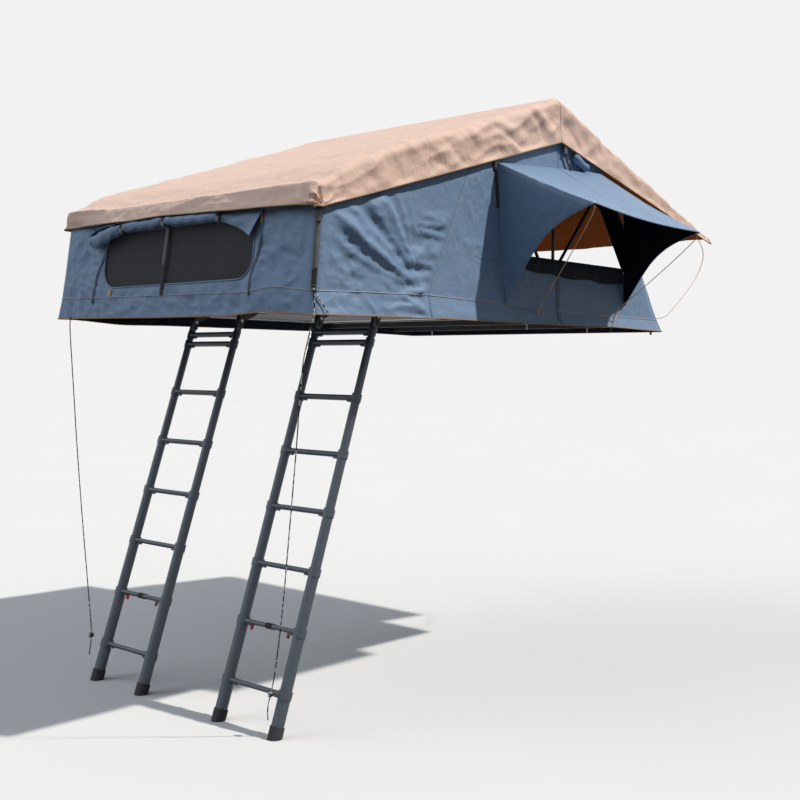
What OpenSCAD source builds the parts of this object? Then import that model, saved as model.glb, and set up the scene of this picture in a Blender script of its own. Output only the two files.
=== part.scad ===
// Fold-out roof top tent with an extended entrance end, a fly sheet and two telescopic ladders.
// The floor is in two halves hinged across the middle. +X points to the gable that carries the door awning,
// -Y to the ladder end, +Z up. The origin is midway between the mounting rails, on their underside.

/* [Floor] */
// Length of each floor half, across the vehicle
floor_l = 1200; // [1100:10:1300]
// Width of the floor, along the vehicle
floor_w = 2208; // [2100:2:2400]
// Height of the aluminium edge profile
frame_h = 45; // [40:1:60]
// Width of the aluminium edge profile
frame_w = 36; // [30:1:50]
// Thickness of the sandwich panel held in the edge profile
panel_t = 30; // [18:1:32]
// Depth of the slot that the panel sits in
slot_depth = 15; // [8:1:20]
// Gap left between the two floor halves
floor_gap = 0.6; // [0.4:0.1:2]

/* [Mounting rails] */
// Distance from the floor's side to the end of a rail
rail_inset = 14; // [0:1:24]
// Width of a rail
rail_w = 40; // [36:1:50]
// Height of a rail
rail_h = 35; // [30:1:45]
// Wall of a rail
rail_wall = 5; // [4:0.5:7]
// Width of the slot along the underside of a rail
rail_slot = 12; // [11:0.5:14]
// Distance between the two rails
rail_spacing = 700; // [500:10:900]
// Distance between the studs on one rail
stud_spacing = 1400; // [900:10:1500]
// Diameter of the studs
stud_d = 8; // [6:1:10]
// Length of a stud below the rail
stud_l = 35; // [25:1:45]

/* [Fold hinge] */
// Height of the fold axis above the floor
pivot_h = 125; // [110:1:160]
// Diameter of the hinge pins
pin_d = 10; // [8:0.5:12]
// Thickness of the hinge plates
plate_t = 5; // [4:0.5:6]
// Distance of the outer hinge plate from the floor's side
plate_inset = 11; // [10:0.5:14]

/* [Bows] */
// Diameter of the bow tubes
bow_d = 19; // [16:1:20]
// Radius of the elbows of a bow, at the middle of the tube
bow_bend = 80; // [60:5:120]
// Wall of the elbows round the tube
elbow_wall = 2; // [2:0.5:4]
// Length of the upright ridge bow, from the fold axis
ridge_l = 1095; // [1000:5:1200]
// Horizontal reach of the front bow, from the fold axis
front_reach = 600; // [500:10:700]
// Horizontal reach of the rear bow, from the fold axis
rear_reach = 590; // [500:10:650]
// Height of the rear bow's bar above the floor
rear_h = 800; // [700:10:850]

/* [Extension] */
// Length of the extension past the end of the floor
ext_l = 778; // [600:1:900]
// Height of the extension bow's bar above the floor
ext_h = 480; // [420:5:560]
// Set-back of the extension bow's bar from the end wall
ext_back = 33; // [28:1:60]
// How far the foot of the end wall stands out past the end of the extension
end_lean = 34; // [0:2:60]
// Distance of the extension bow's pivot from the end of the floor
ext_pivot_in = 30; // [20:1:60]
// Height of the extension bow's pivot above the floor
ext_pivot_h = 35; // [25:1:50]

/* [Canopy] */
// Thickness of the cloth
cloth_t = 2.5; // [1.5:0.5:3]
// Gap between the cloth and what it lies against
cloth_gap = 0.3; // [0.3:0.1:1]
// How far each side wall leans in between the floor and the ridge
wall_lean = 22; // [10:1:24]
// Drop of the skirt below the floor
skirt_drop = 126; // [90:1:150]
// How far the skirt flares out at its hem
skirt_flare = 26; // [10:1:40]
// Radius of the canopy's upright corners
corner_r = 45; // [30:1:70]
// Height of the main tension folds
fold_height = 9; // [0:1:14]
// Height of the door sill above the floor
sill_h = 215; // [120:5:300]
// Front edge of the door, measured from the fold axis
door_front = 525; // [450:5:560]
// Rear edge of the door, measured from the fold axis
door_rear = 750; // [650:5:800]

/* [Window] */
// Width of the window in the end wall
window_w = 1300; // [1000:10:1500]
// Height of the window
window_h = 312; // [250:2:330]
// Height of the window's lower edge above the floor
window_sill = 66; // [40:2:90]
// Corner radius of the window
window_r = 60; // [30:5:90]
// Radius of the rolled window cover
roll_r = 26; // [14:1:36]

/* [Rear window] */
// Width of the window in the far wall
rear_window_w = 1900; // [1200:10:2000]
// Height of the rear window, measured upright
rear_window_h = 460; // [300:10:480]
// Height of the rear window's lower edge above the floor
rear_window_sill = 260; // [200:10:280]

/* [Fly sheet] */
// Height of the fly above the canopy's roof
fly_lift = 20; // [15:1:40]
// Distance of the fly's valance from the side walls
fly_out = 12; // [8:1:25]
// Drop of the valance at the ridge
drop_ridge = 270; // [200:5:320]
// Drop of the valance at the ladder end
drop_end = 120; // [80:5:150]
// Drop of the valance at the rear edge
drop_rear = 40; // [25:5:80]
// Reach of the rear edge past the fold axis
fly_reach = 1885; // [1700:5:2000]
// Height of the rear edge above the floor
fly_rear_h = 585; // [480:5:700]

/* [Awnings] */
// How far an awning stands out from the side wall
awning_out = 580; // [400:10:700]
// Height of an awning's front edge above the floor
awning_h = 500; // [400:2:560]
// Thickness of the spring wire that props the awnings and the fly
wire_d = 5; // [4:0.5:8]

/* [Mattress] */
// Thickness of each mattress half
mattress_t = 45; // [30:1:48]
// Space between the mattress and the innermost bow leg
mattress_gap = 35; // [6:0.5:120]

/* [Ladders] */
// Lean of the ladders from the upright
ladder_lean = 18.24; // [10:0.01:25]
// Distance between the middles of the two ladders
ladder_spacing = 1132; // [900:2:1300]
// Distance between the two stiles of a ladder
stile_spacing = 442; // [380:2:480]
// Distance of the ladder pivot past the end of the floor
ladder_out = 46; // [40:1:60]
// Depth of the ladder pivot below the floor's top
ladder_drop = 96; // [90:1:110]
// Distance from the pivot to the top rung
top_rung = 85; // [80:1:110]
// Rung pitch of an extended section
rung_pitch = 313.7; // [290:0.1:330]
// Rung pitch of a section that is pushed in
nested_pitch = 61; // [56:1:80]
// Length of the lowest stile below its rung
foot_l = 216; // [200:1:260]
// Diameter of the thinnest stile tube
tube_d = 38; // [34:1:42]
// Step in diameter from one section to the next
tube_step = 4; // [3.6:0.1:5]
// Running gap between two nested tubes, on the radius
tube_gap = 0.2; // [0.15:0.05:0.4]
// Length of tube that stays inside the next section
tube_overlap = 50; // [40:1:70]
// Depth of a rung's tread
rung_w = 44; // [36:1:50]
// Height of a rung
rung_h = 26; // [20:1:30]
// Width of a ladder bracket's foot
bracket_w = 90; // [70:2:110]
// Length of a ladder bracket's foot, along the floor
bracket_l = 120; // [90:2:160]

/* [Hidden] */
$fn = 48;
sections = 8;
ladder_nodes = [for (side = ["left", "right"]) for (k = [1:sections]) str("ladder_", side, "_section_", k)];

// Colours of the cloth, metal and plastic
slate_blue = [0.24, 0.34, 0.45];
dusty_brown = [0.55, 0.43, 0.38];
ladder_grey = [0.24, 0.27, 0.31];
alloy = [0.75, 0.76, 0.78];
black = [0.06, 0.06, 0.07];

// Floor levels and ends
floor_top = rail_h + frame_h;
hinge_y = -floor_l / 2;
far_y = floor_l / 2;
out_y = hinge_y - floor_l;
half_w = floor_w / 2;
rail_l = floor_w - 2 * rail_inset;
axis_z = floor_top + pivot_h;
run_gap = 0.05;
part_gap = 0.3;

// Middles of the bow bars, as [y, z]
ridge_at = [hinge_y, axis_z + ridge_l];
end_y = out_y - ext_l;
ext_at = [end_y + ext_back, floor_top + ext_h];
ext_pivot = [out_y + ext_pivot_in, floor_top + ext_pivot_h];
front_y = hinge_y - front_reach;
front_at = [front_y, frame_line(front_y)];
rear_at = [hinge_y + rear_reach, floor_top + rear_h];
roof_off = bow_d / 2 + elbow_wall + cloth_t + 4;

// Places of the bow legs across the tent, from the hinge plates inwards
eye_step = bow_d + 7;
base_plate_x = half_w - plate_inset;
fold_plate_x = base_plate_x - plate_t - 3;
ridge_x = fold_plate_x - plate_t - 3.5 - bow_d / 2;
front_x = ridge_x - eye_step;
rear_x = front_x - eye_step;
ext_x = ridge_x - 8;
eye_r = pin_d / 2 + 9;
eye_w = bow_d + 1;
mattress_w = 2 * (rear_x - eye_w / 2 - mattress_gap);

// Ladder pivot, stiles and rungs
ladder_pivot = [out_y - ladder_out, floor_top - ladder_drop];
lug_t = 24;
lug_w = 34;
ear_t = 5;
collar_h = 44;
collar_wall = 4;
button_rung = 6;
button_r = 9;
button_out = 27;
button_hole = 12;
tube_l = rung_pitch + tube_overlap;
last = sections - 1;
foot_wall = 5;
foot_h = 60;
foot_cut = tube_of(last) / 2 * sin(ladder_lean);
ground_z = ladder_pivot[1] - (rung_depth(last) + foot_l) * cos(ladder_lean);

hem_z = floor_top - skirt_drop;
far_foot = far_y + cloth_gap + 1.6 * cloth_t;
roof_ridge_gap = cloth_gap + 0.45 * cloth_t;
fly_ridge_gap = cloth_gap + 0.35 * cloth_t;
seam_top_y = hinge_y - 732;
end_top_z = ext_at[1] + roof_off - cloth_t - 1;
fly_end_y = end_y - 14;

function lerp(a, b, t) = a + (b - a) * t;
function unit(v) = v / max(norm(v), 0.000001);
function limit(v) = max(0, min(1, v));
function turned(list) = [for (i = [len(list) - 1:-1:0]) list[i]];
function rung_depth(k) = top_rung + (k > 0 ? nested_pitch : 0) + max(0, k - 1) * rung_pitch;
function tube_of(k) = tube_d + k * tube_step;

// Height of the line through the bow bars, of the roof that lies on them and of the fly above it
function frame_line(y) = y < hinge_y
    ? lerp(ext_at[1], ridge_at[1], (y - ext_at[0]) / (hinge_y - ext_at[0]))
    : lerp(ridge_at[1], rear_at[1], (y - hinge_y) / (rear_at[0] - hinge_y));
function roof_z(y) = frame_line(y) + roof_off;
function fly_z(y) = y < hinge_y
    ? roof_z(y) + fly_lift
    : lerp(roof_z(hinge_y) + fly_lift, floor_top + fly_rear_h, (y - hinge_y) / fly_reach);
function fly_drop(y) = y < hinge_y
    ? lerp(drop_ridge, drop_end, (hinge_y - y) / (hinge_y - end_y))
    : lerp(drop_ridge, drop_rear, (y - hinge_y) / fly_reach);

// Outer face of the side walls and the two ends at a height
function wall_x(z) = half_w + cloth_gap + cloth_t
    + (z < floor_top ? skirt_flare * (floor_top - z) / skirt_drop
                     : -wall_lean * (z - floor_top) / (ridge_at[1] - floor_top));
function end_at(z) = z < floor_top
    ? end_y - end_lean - 0.4 * skirt_flare * (floor_top - z) / skirt_drop
    : lerp(end_y - end_lean, end_y + 14, (z - floor_top) / ext_h);
function far_at(z) = z < floor_top
    ? far_foot + skirt_flare * (floor_top - z) / skirt_drop
    : lerp(far_foot, rear_at[0] + bow_d / 2 + 8, (z - floor_top) / rear_h);
function wall_level(v, top) = v < 0.2 ? lerp(hem_z, floor_top, v / 0.2)
                                      : lerp(floor_top, top, (v - 0.2) / 0.8);
function wall_top(y) = roof_z(y) - 1.07 * cloth_t - 0.5;
function seam_y(z) = lerp(out_y + 10, seam_top_y, limit((z - floor_top) / (wall_top(seam_top_y) - floor_top)));
function door_front_y(z) = hinge_y - door_front - 0.105 * max(0, z - floor_top);

// Line along which the top of an awning is sewn to the side wall, just under the fly's valance
function hem_of(y) = fly_z(y) - fly_drop(y) - 10;
hood_front_y = door_front_y(floor_top + 820);
function hood_line(y) = min(hem_of(y), hem_of(hood_front_y) + 0.075 * (y - hood_front_y));

// Tension folds run from the shoulder to the end of the floor, and fade towards every edge
shoulder = [end_y + corner_r, end_top_z];
floor_corner = [out_y, floor_top];
fold_way = unit(floor_corner - shoulder);
function fold_side(y, z) = (y - shoulder[0]) * fold_way[1] - (z - shoulder[1]) * fold_way[0];
function fold_at(y, z) = fold_height * (0.5 + 0.5 * cos(360 * fold_side(y, z) / 150))
    * exp(-pow(fold_side(y, z) / 210, 2)) * limit((z - floor_top - 20) / 60) * limit((y - shoulder[0] - 95) / 80)
    * limit((roof_z(y) + fly_lift - fly_drop(y) - 15 - z) / 60);

// Normal of a grid of points, from its neighbours
function grid_normal(P, i, j) = unit(cross(
    P[min(i + 1, len(P) - 1)][j] - P[max(i - 1, 0)][j],
    P[i][min(j + 1, len(P[0]) - 1)] - P[i][max(j - 1, 0)]));

// A sheet of cloth of thickness t: the grid P is one face, and the other lies against its normals
module skin(P, t) {
    n = len(P);
    m = len(P[0]);
    far = n * m;
    outer = [for (row = P) for (p = row) p];
    inner = [for (i = [0:n - 1]) for (j = [0:m - 1]) P[i][j] - t * grid_normal(P, i, j)];
    function at(i, j) = i * m + j;
    faces = concat(
        [for (i = [0:n - 2], j = [0:m - 2]) each [
            [at(i, j), at(i, j + 1), at(i + 1, j + 1)],
            [at(i, j), at(i + 1, j + 1), at(i + 1, j)],
            [far + at(i, j), far + at(i + 1, j + 1), far + at(i, j + 1)],
            [far + at(i, j), far + at(i + 1, j), far + at(i + 1, j + 1)]]],
        [for (i = [0:n - 2]) each [
            [at(i, 0), at(i + 1, 0), far + at(i + 1, 0)],
            [at(i, 0), far + at(i + 1, 0), far + at(i, 0)],
            [at(i + 1, m - 1), at(i, m - 1), far + at(i, m - 1)],
            [at(i + 1, m - 1), far + at(i, m - 1), far + at(i + 1, m - 1)]]],
        [for (j = [0:m - 2]) each [
            [at(0, j + 1), at(0, j), far + at(0, j)],
            [at(0, j + 1), far + at(0, j), far + at(0, j + 1)],
            [at(n - 1, j), at(n - 1, j + 1), far + at(n - 1, j + 1)],
            [at(n - 1, j), far + at(n - 1, j + 1), far + at(n - 1, j)]]]);
    polyhedron(concat(outer, inner), faces, convexity = 8);
}

// A smooth curve through points, with steps pieces between each two
function curve_point(a, b, c, d, t) = 0.5 * (2 * b + (c - a) * t + (2 * a - 5 * b + 4 * c - d) * t * t
    + (3 * b - a - 3 * c + d) * t * t * t);
function curve(P, steps) = concat(
    [for (i = [0:len(P) - 2], s = [0:steps - 1])
        curve_point(P[max(i - 1, 0)], P[i], P[i + 1], P[min(i + 2, len(P) - 1)], s / steps)],
    [P[len(P) - 1]]);

// A round tube swept along a curve; side_ref is a direction that the curve never runs along
module sweep(path, r, sides, side_ref) {
    n = len(path);
    function way(i) = unit(path[min(i + 1, n - 1)] - path[max(i - 1, 0)]);
    rings = [for (i = [0:n - 1]) let (u = unit(cross(way(i), side_ref)), v = cross(way(i), u))
        for (s = [0:sides - 1]) path[i] + r * (cos(360 * s / sides) * u + sin(360 * s / sides) * v)];
    ends = [path[0], path[n - 1]];
    base = n * sides;
    faces = concat(
        [for (i = [0:n - 2], s = [0:sides - 1]) let (a = i * sides + s, b = i * sides + (s + 1) % sides)
            each [[a, a + sides, b + sides], [a, b + sides, b]]],
        [for (s = [0:sides - 1]) let (b = (s + 1) % sides) each [
            [base, s, b],
            [base + 1, (n - 1) * sides + b, (n - 1) * sides + s]]]);
    polyhedron(concat(rings, ends), faces, convexity = 6);
}

module both_sides() {
    children();
    mirror([1, 0, 0]) children();
}

// A square with its corners rounded, and a bar profile with round ends
module rounded(w, h, r) {
    square([w - 2 * r, h], center = true);
    square([w, h - 2 * r], center = true);
    for (x = [-1, 1], y = [-1, 1]) translate([x * (w / 2 - r), y * (h / 2 - r)]) circle(r);
}

module stadium(w, h) {
    square([w - h, h], center = true);
    for (x = [-1, 1]) translate([x * (w - h) / 2, 0]) circle(d = h);
}

// Two C channels across the underside of the fixed floor, open downwards for the studs
module mount_rails() color(alloy)
    for (y = [-1, 1]) translate([-rail_l / 2, y * rail_spacing / 2, 0]) rotate([90, 0, 90])
        linear_extrude(rail_l) difference() {
            translate([-rail_w / 2, 0]) square([rail_w, rail_h]);
            translate([-rail_w / 2 + rail_wall, rail_wall]) square([rail_w - 2 * rail_wall, rail_h - 2 * rail_wall]);
            translate([-rail_slot / 2, -1]) square([rail_slot, rail_wall + 2]);
        }

// T-headed studs that slide along the rails
module mount_studs() color(alloy)
    for (x = [-1, 1], y = [-1, 1]) translate([x * stud_spacing / 2, y * rail_spacing / 2, 0]) {
        translate([0, 0, -stud_l]) cylinder(d = stud_d, h = stud_l + rail_wall + 1);
        translate([-rail_slot, -rail_slot, rail_wall]) cube([2 * rail_slot, 2 * rail_slot, stud_d * 0.75]);
    }

// Edge profile of one floor half: a ring with a slot round its inside for the panel
module floor_frame(y_low, y_high, round_r) color(alloy)
    difference() {
        translate([0, 0, rail_h]) linear_extrude(frame_h) union() {
            translate([-half_w, y_low]) square([floor_w, y_high - y_low - round_r]);
            translate([-half_w + round_r, y_low]) square([floor_w - 2 * round_r, y_high - y_low]);
            for (s = [-1, 1]) translate([s * (half_w - round_r), y_high - round_r]) circle(round_r);
        }
        translate([-half_w + frame_w, y_low + frame_w, rail_h - 1])
            cube([floor_w - 2 * frame_w, y_high - y_low - 2 * frame_w, frame_h + 2]);
        translate([-half_w + frame_w - slot_depth, y_low + frame_w - slot_depth, rail_h + (frame_h - panel_t) / 2])
            cube([floor_w - 2 * (frame_w - slot_depth), y_high - y_low - 2 * (frame_w - slot_depth), panel_t]);
    }

module floor_panel(y_low, y_high) color(black) {
    edge = frame_w - slot_depth + part_gap;
    translate([-half_w + edge, y_low + edge, rail_h + (frame_h - panel_t) / 2])
        cube([floor_w - 2 * edge, y_high - y_low - 2 * edge, panel_t]);
}

module base_floor_frame() floor_frame(hinge_y + floor_gap / 2, far_y, 1.25 * corner_r);
module base_floor_panel() floor_panel(hinge_y + floor_gap / 2, far_y);
module fold_floor_panel() floor_panel(out_y, hinge_y - floor_gap / 2);

// The folding half's edge profile also carries the two upright lugs of the extension bow
module fold_floor_frame() {
    floor_frame(out_y, hinge_y - floor_gap / 2, 2);
    color(alloy) both_sides() difference() {
        translate([ext_x + eye_w / 2 + part_gap, ext_pivot[0], 0]) rotate([90, 0, 90])
        linear_extrude(plate_t) union() {
            translate([0, ext_pivot[1]]) circle(eye_r);
            translate([-eye_r, floor_top - 1]) square([2 * eye_r, ext_pivot_h + 1]);
        }
        translate([ext_x, ext_pivot[0], ext_pivot[1]]) rotate([0, 90, 0]) cylinder(d = pin_d + 2 * run_gap, h = 40);
    }
}

// Hinge plate standing on the floor's edge: a foot, a gusset and the eye round the fold axis
module hinge_plate(way) {
    foot = 170;
    rotate([90, 0, 90]) linear_extrude(plate_t) difference() {
        union() {
            circle(eye_r + 6);
            polygon([[way * 8, -pivot_h], [way * foot, -pivot_h], [way * foot, -pivot_h + 26],
                     [way * (eye_r + 6) * 0.8, (eye_r + 6) * 0.6], [-way * 2, -(eye_r + 5)]]);
        }
        circle(d = pin_d + 2 * run_gap);
    }
}

module base_hinge_plates() color(alloy) both_sides()
    translate([base_plate_x - plate_t, hinge_y, axis_z]) hinge_plate(1);

module fold_hinge_plates() color(alloy) both_sides()
    translate([fold_plate_x - plate_t, hinge_y, axis_z]) hinge_plate(-1);

// Headed pins on the fold axis, with spacer sleeves between the plates and the bow eyes
module hinge_pins() color(alloy) both_sides() translate([0, hinge_y, axis_z]) rotate([0, 90, 0]) {
    pin_low = rear_x - eye_w / 2 - 4 - part_gap;
    translate([0, 0, pin_low]) cylinder(d = pin_d, h = base_plate_x + part_gap - pin_low);
    translate([0, 0, base_plate_x + part_gap]) cylinder(r = eye_r - 4, h = 4);
    translate([0, 0, pin_low]) cylinder(r = eye_r - 4, h = 4);
    for (x = [rear_x, front_x]) spacer(x + eye_w / 2, x + eye_step - eye_w / 2);
    spacer(ridge_x + eye_w / 2, fold_plate_x - plate_t);
    spacer(fold_plate_x, base_plate_x - plate_t);
}

module spacer(low, high) translate([0, 0, low + part_gap]) difference() {
    cylinder(r = eye_r - 5, h = high - low - 2 * part_gap);
    translate([0, 0, -1]) cylinder(d = pin_d + 2 * run_gap, h = high - low + 2);
}

module extension_pins() color(alloy) both_sides()
    translate([0, ext_pivot[0], ext_pivot[1]]) rotate([0, 90, 0]) {
        pin_low = ext_x - eye_w / 2 - 4 - part_gap;
        pin_high = ext_x + eye_w / 2 + plate_t + 2 * part_gap;
        translate([0, 0, pin_low]) cylinder(d = pin_d, h = pin_high - pin_low);
        translate([0, 0, pin_low]) cylinder(r = eye_r - 4, h = 4);
        translate([0, 0, pin_high]) cylinder(r = eye_r - 4, h = 4);
    }

// A tube bow: two legs with eyes on the pivot, two moulded elbows and the bar
module bow(leg_x, length) color(alloy) difference() {
    elbow_in = 12;
    bar_l = 2 * (leg_x - bow_bend + elbow_in);
    union() {
        both_sides() {
            translate([leg_x, 0, 0]) cylinder(d = bow_d, h = length - bow_bend + elbow_in);
            translate([leg_x - eye_w / 2, 0, 0]) rotate([0, 90, 0]) cylinder(r = eye_r, h = eye_w);
            translate([leg_x - bow_bend, 0, length - bow_bend]) rotate([90, 0, 0])
                rotate_extrude(angle = 90) translate([bow_bend, 0]) circle(d = bow_d + 2 * elbow_wall);
        }
        translate([-bar_l / 2, 0, length]) rotate([0, 90, 0]) cylinder(d = bow_d, h = bar_l);
    }
    rotate([0, 90, 0]) cylinder(d = pin_d + 2 * run_gap, h = 2 * leg_x + 2 * bow_d, center = true);
}

// Places a bow so that its bar lies at a point [y, z], seen from its pivot
module bow_to(pivot, at, leg_x) {
    reach = at - pivot;
    translate([0, pivot[0], pivot[1]]) rotate([-atan2(reach[0], reach[1]), 0, 0]) bow(leg_x, norm(reach));
}

module ridge_bow() bow_to([hinge_y, axis_z], ridge_at, ridge_x);
module front_bow() bow_to([hinge_y, axis_z], front_at, front_x);
module rear_bow() bow_to([hinge_y, axis_z], rear_at, rear_x);
module extension_bow() bow_to(ext_pivot, ext_at, ext_x);

// Mattress half: a flat base under a crowned top with drawn-in sides
module mattress(y_low, y_high) {
    nx = 12;
    ny = 8;
    edge_t = mattress_t * 0.75;
    function plump(u) = pow(limit(1 - pow(abs(2 * u - 1), 6)), 0.5);
    top = [for (i = [0:nx]) [for (j = [0:ny]) [
        lerp(-mattress_w / 2, mattress_w / 2, i / nx), lerp(y_low, y_high, j / ny),
        floor_top + part_gap + edge_t + (mattress_t - edge_t) * plump(i / nx) * plump(j / ny)]]];
    points = concat([for (row = top) for (p = row) p],
                    [for (row = top) for (p = row) [p[0], p[1], floor_top + part_gap]]);
    m = ny + 1;
    below = (nx + 1) * m;
    faces = concat(
        [for (i = [0:nx - 1], j = [0:ny - 1]) let (a = i * m + j) each [
            [a, a + 1, a + m + 1], [a, a + m + 1, a + m],
            [below + a, below + a + m + 1, below + a + 1], [below + a, below + a + m, below + a + m + 1]]],
        [for (i = [0:nx - 1]) let (a = i * m, b = i * m + ny) each [
            [a, a + m, below + a + m], [a, below + a + m, below + a],
            [b + m, b, below + b], [b + m, below + b, below + b + m]]],
        [for (j = [0:ny - 1]) let (a = j, b = nx * m + j) each [
            [a + 1, a, below + a], [a + 1, below + a, below + a + 1],
            [b, b + 1, below + b + 1], [b, below + b + 1, below + b]]]);
    color(black) polyhedron(points, faces, convexity = 4);
}

module base_mattress() mattress(hinge_y + 8, far_y - 30);
module fold_mattress() mattress(out_y + 12, hinge_y - 8);

// One sheet of roof between two y values, lying on the bow bars
module roof(y_low, y_high, steps) skin(
    [for (i = [0:steps]) let (y = lerp(y_low, y_high, i / steps)) [for (s = [1:-0.25:-1])
        [s * (wall_x(roof_z(y)) - 1), y, roof_z(y) - 1.2 * sin(180 * abs(s))]]], cloth_t);

// Gable cloth over a door, between the awning's seam and the roof; under is its drop below a sloping roof
module gable(y_low, y_high, under) skin([for (v = [0:2]) [for (c = [4:-1:0])
    let (y = lerp(y_low, y_high, c / 4),
         z = lerp(hood_line(y) - 30, roof_z(y) - under * cloth_t - 0.5, v / 2)) [wall_x(z), y, z]]], cloth_t);

// Rear third of the canopy: the leaning far wall, the strips beside the doors, the sills and the roof
module canopy_rear() {
    rows = [for (v = [0:10]) wall_level(v / 10, rear_at[1])];
    function front_edge(z) = lerp(hinge_y + cloth_gap, min(hinge_y + door_rear, far_at(z) - 60),
                                  limit((z - floor_top - sill_h) / 40));
    function side(z, s) = [for (a = [0:0.25:1])
        [s * wall_x(z), lerp(front_edge(z), far_at(z) - corner_r, a), z]];
    function bend(z, s) = [for (a = [30, 60])
        [s * (wall_x(z) - corner_r + corner_r * cos(a)), far_at(z) - corner_r + corner_r * sin(a), z]];
    function wall(z) = [for (b = [1:-0.25:-1])
        [b * (wall_x(z) - corner_r), far_at(z) + 3 * sin(180 * 3 * b) * limit((z - floor_top) / 200), z]];
    color(slate_blue) {
        difference() {
            skin([for (z = rows)
                concat(side(z, -1), bend(z, -1), turned(wall(z)), turned(bend(z, 1)), turned(side(z, 1)))],
                cloth_t);
            translate([0, far_y + 150, floor_top + rear_window_sill + rear_window_h / 2]) rotate([90, 0, 0])
                linear_extrude(rear_reach + 110) rounded(rear_window_w, rear_window_h, window_r);
        }
        both_sides() gable(hinge_y + cloth_gap, far_at(rear_at[1]) - 61, 1.23);
        roof(hinge_y + roof_ridge_gap, rear_at[0] + bow_d / 2 + 8, 2);
    }
}

// Middle third: the side walls between the extension seam and the doors, the sills and the roof
module canopy_front() {
    cols = 8;
    function right_edge(z) = lerp(hinge_y - cloth_gap, door_front_y(z), limit((z - floor_top - sill_h) / 40));
    function top_at(a) = wall_top(lerp(seam_top_y, door_front_y(roof_z(hinge_y - 1.16 * door_front)), a));
    color(slate_blue) {
        both_sides() skin([for (v = [0:10]) [for (c = [cols:-1:0]) let (
            a = c / cols, z = wall_level(v / 10, top_at(a)), y = lerp(seam_y(z) + 2 * cloth_gap, right_edge(z), a))
            [wall_x(z) + 2 * sin(360 * a) * limit((z - floor_top - 40) / 200) * a * (1 - a) * 4, y, z]]], cloth_t);
        both_sides() gable(door_front_y(hood_line(hood_front_y) - 30) + 2 * cloth_gap, hinge_y - cloth_gap,
                           1.07);
        roof(out_y + cloth_gap, hinge_y - roof_ridge_gap, 5);
    }
}

// Extension: the end wall with its window, its two side walls with their tension folds, and the roof
module canopy_extension() {
    rows = 10;
    cols = 9;
    function side(v, s) = [for (c = [0:cols]) let (
        a = c / cols, top_y = lerp(seam_top_y, end_at(end_top_z) + corner_r, a),
        top_z = lerp(wall_top(top_y), end_top_z, pow(a, 8)),
        z = wall_level(v, top_z), foot_y = lerp(out_y + 10, end_at(min(z, floor_top)) + corner_r, a),
        y = lerp(foot_y, top_y, limit((z - floor_top) / (top_z - floor_top))))
        [s * (wall_x(z) + fold_at(y, z)), y, z]];
    function level(v) = wall_level(v, end_top_z);
    function bend(v, s) = let (z = level(v)) [for (a = [30, 60])
        [s * (wall_x(z) - corner_r + corner_r * cos(a)), end_at(z) + corner_r - corner_r * sin(a), z]];
    function wall(v) = let (z = level(v)) [for (b = [1:-0.2:-1]) [b * (wall_x(z) - corner_r), end_at(z), z]];
    color(slate_blue) {
        difference() {
            skin([for (v = [0:rows]) let (h = v / rows)
                concat(side(h, 1), bend(h, 1), wall(h), turned(bend(h, -1)), turned(side(h, -1)))], cloth_t);
            window_prism(0, 160);
        }
        roof(end_at(end_top_z) + cloth_t + 0.4, out_y - cloth_gap, 3);
    }
}

// The window's outline as a prism through the end wall, grown by a margin
module window_prism(margin, depth) translate([0, end_y + depth / 2, floor_top + window_sill + window_h / 2])
    rotate([90, 0, 0]) linear_extrude(depth)
        rounded(window_w + 2 * margin, window_h + 2 * margin, window_r + margin);

// Insect mesh sewn behind the window opening
module window_mesh() color(black) {
    low = floor_top + window_sill - 30;
    high = floor_top + window_sill + window_h + 20;
    skin([for (v = [0:3]) let (z = lerp(low, high, v / 3)) [for (b = [1:-0.25:-1])
        [b * (window_w / 2 + 30), end_at(z) + cloth_t + 1, z]]], 1.2);
}

// Window cover rolled up along the top of the window, drooping between its ties
module window_cover_roll() color(slate_blue) {
    top = fly_z(end_y) - drop_end - roll_r - 7;
    path = [for (i = [0:20]) let (b = i / 20, z = top - 13 * abs(sin(540 * b)) - 24 * pow(1 - b, 6))
        [lerp(-window_w / 2 - 50, window_w / 2 + 8, b), end_at(z) - roll_r - 2 * part_gap, z]];
    sweep(path, roll_r, 10, [0, 0, 1]);
}

// Point on a rounded corner of the end wall: height, angle from the side wall and radius
function on_corner(z, a, r) = [wall_x(z) - corner_r + r * cos(a), end_at(z) + corner_r - r * sin(a), z];

// Webbing straps with buckles: two round the ladder end corners and one down the middle of the end wall
module canopy_straps() color(black) {
    strap_w = 25;
    strap_t = 2;
    strap_top = fly_z(end_y) - drop_end - 6;
    both_sides() {
        skin([for (v = [0:5]) let (z = lerp(floor_top + 4, strap_top, v / 5)) [for (a = [30, 45, 60])
            on_corner(z, a, corner_r + 2 * cloth_gap + strap_t)]], strap_t);
        translate(on_corner(strap_top - 70, 45, corner_r + 4 * cloth_gap + strap_t)) rotate([0, 0, -45])
            translate([0, -strap_w / 2 - 7, 0]) cube([11, strap_w + 14, 60]);
    }
    middle_top = fly_z(end_y) - drop_end - 2 * roll_r - 22;
    skin([for (v = [0:6]) let (z = lerp(floor_top + 4, middle_top, v / 6)) [for (a = [1, 0])
        [-100 + strap_w * a, end_at(z) - cloth_gap - strap_t, z]]], strap_t);
}

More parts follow.
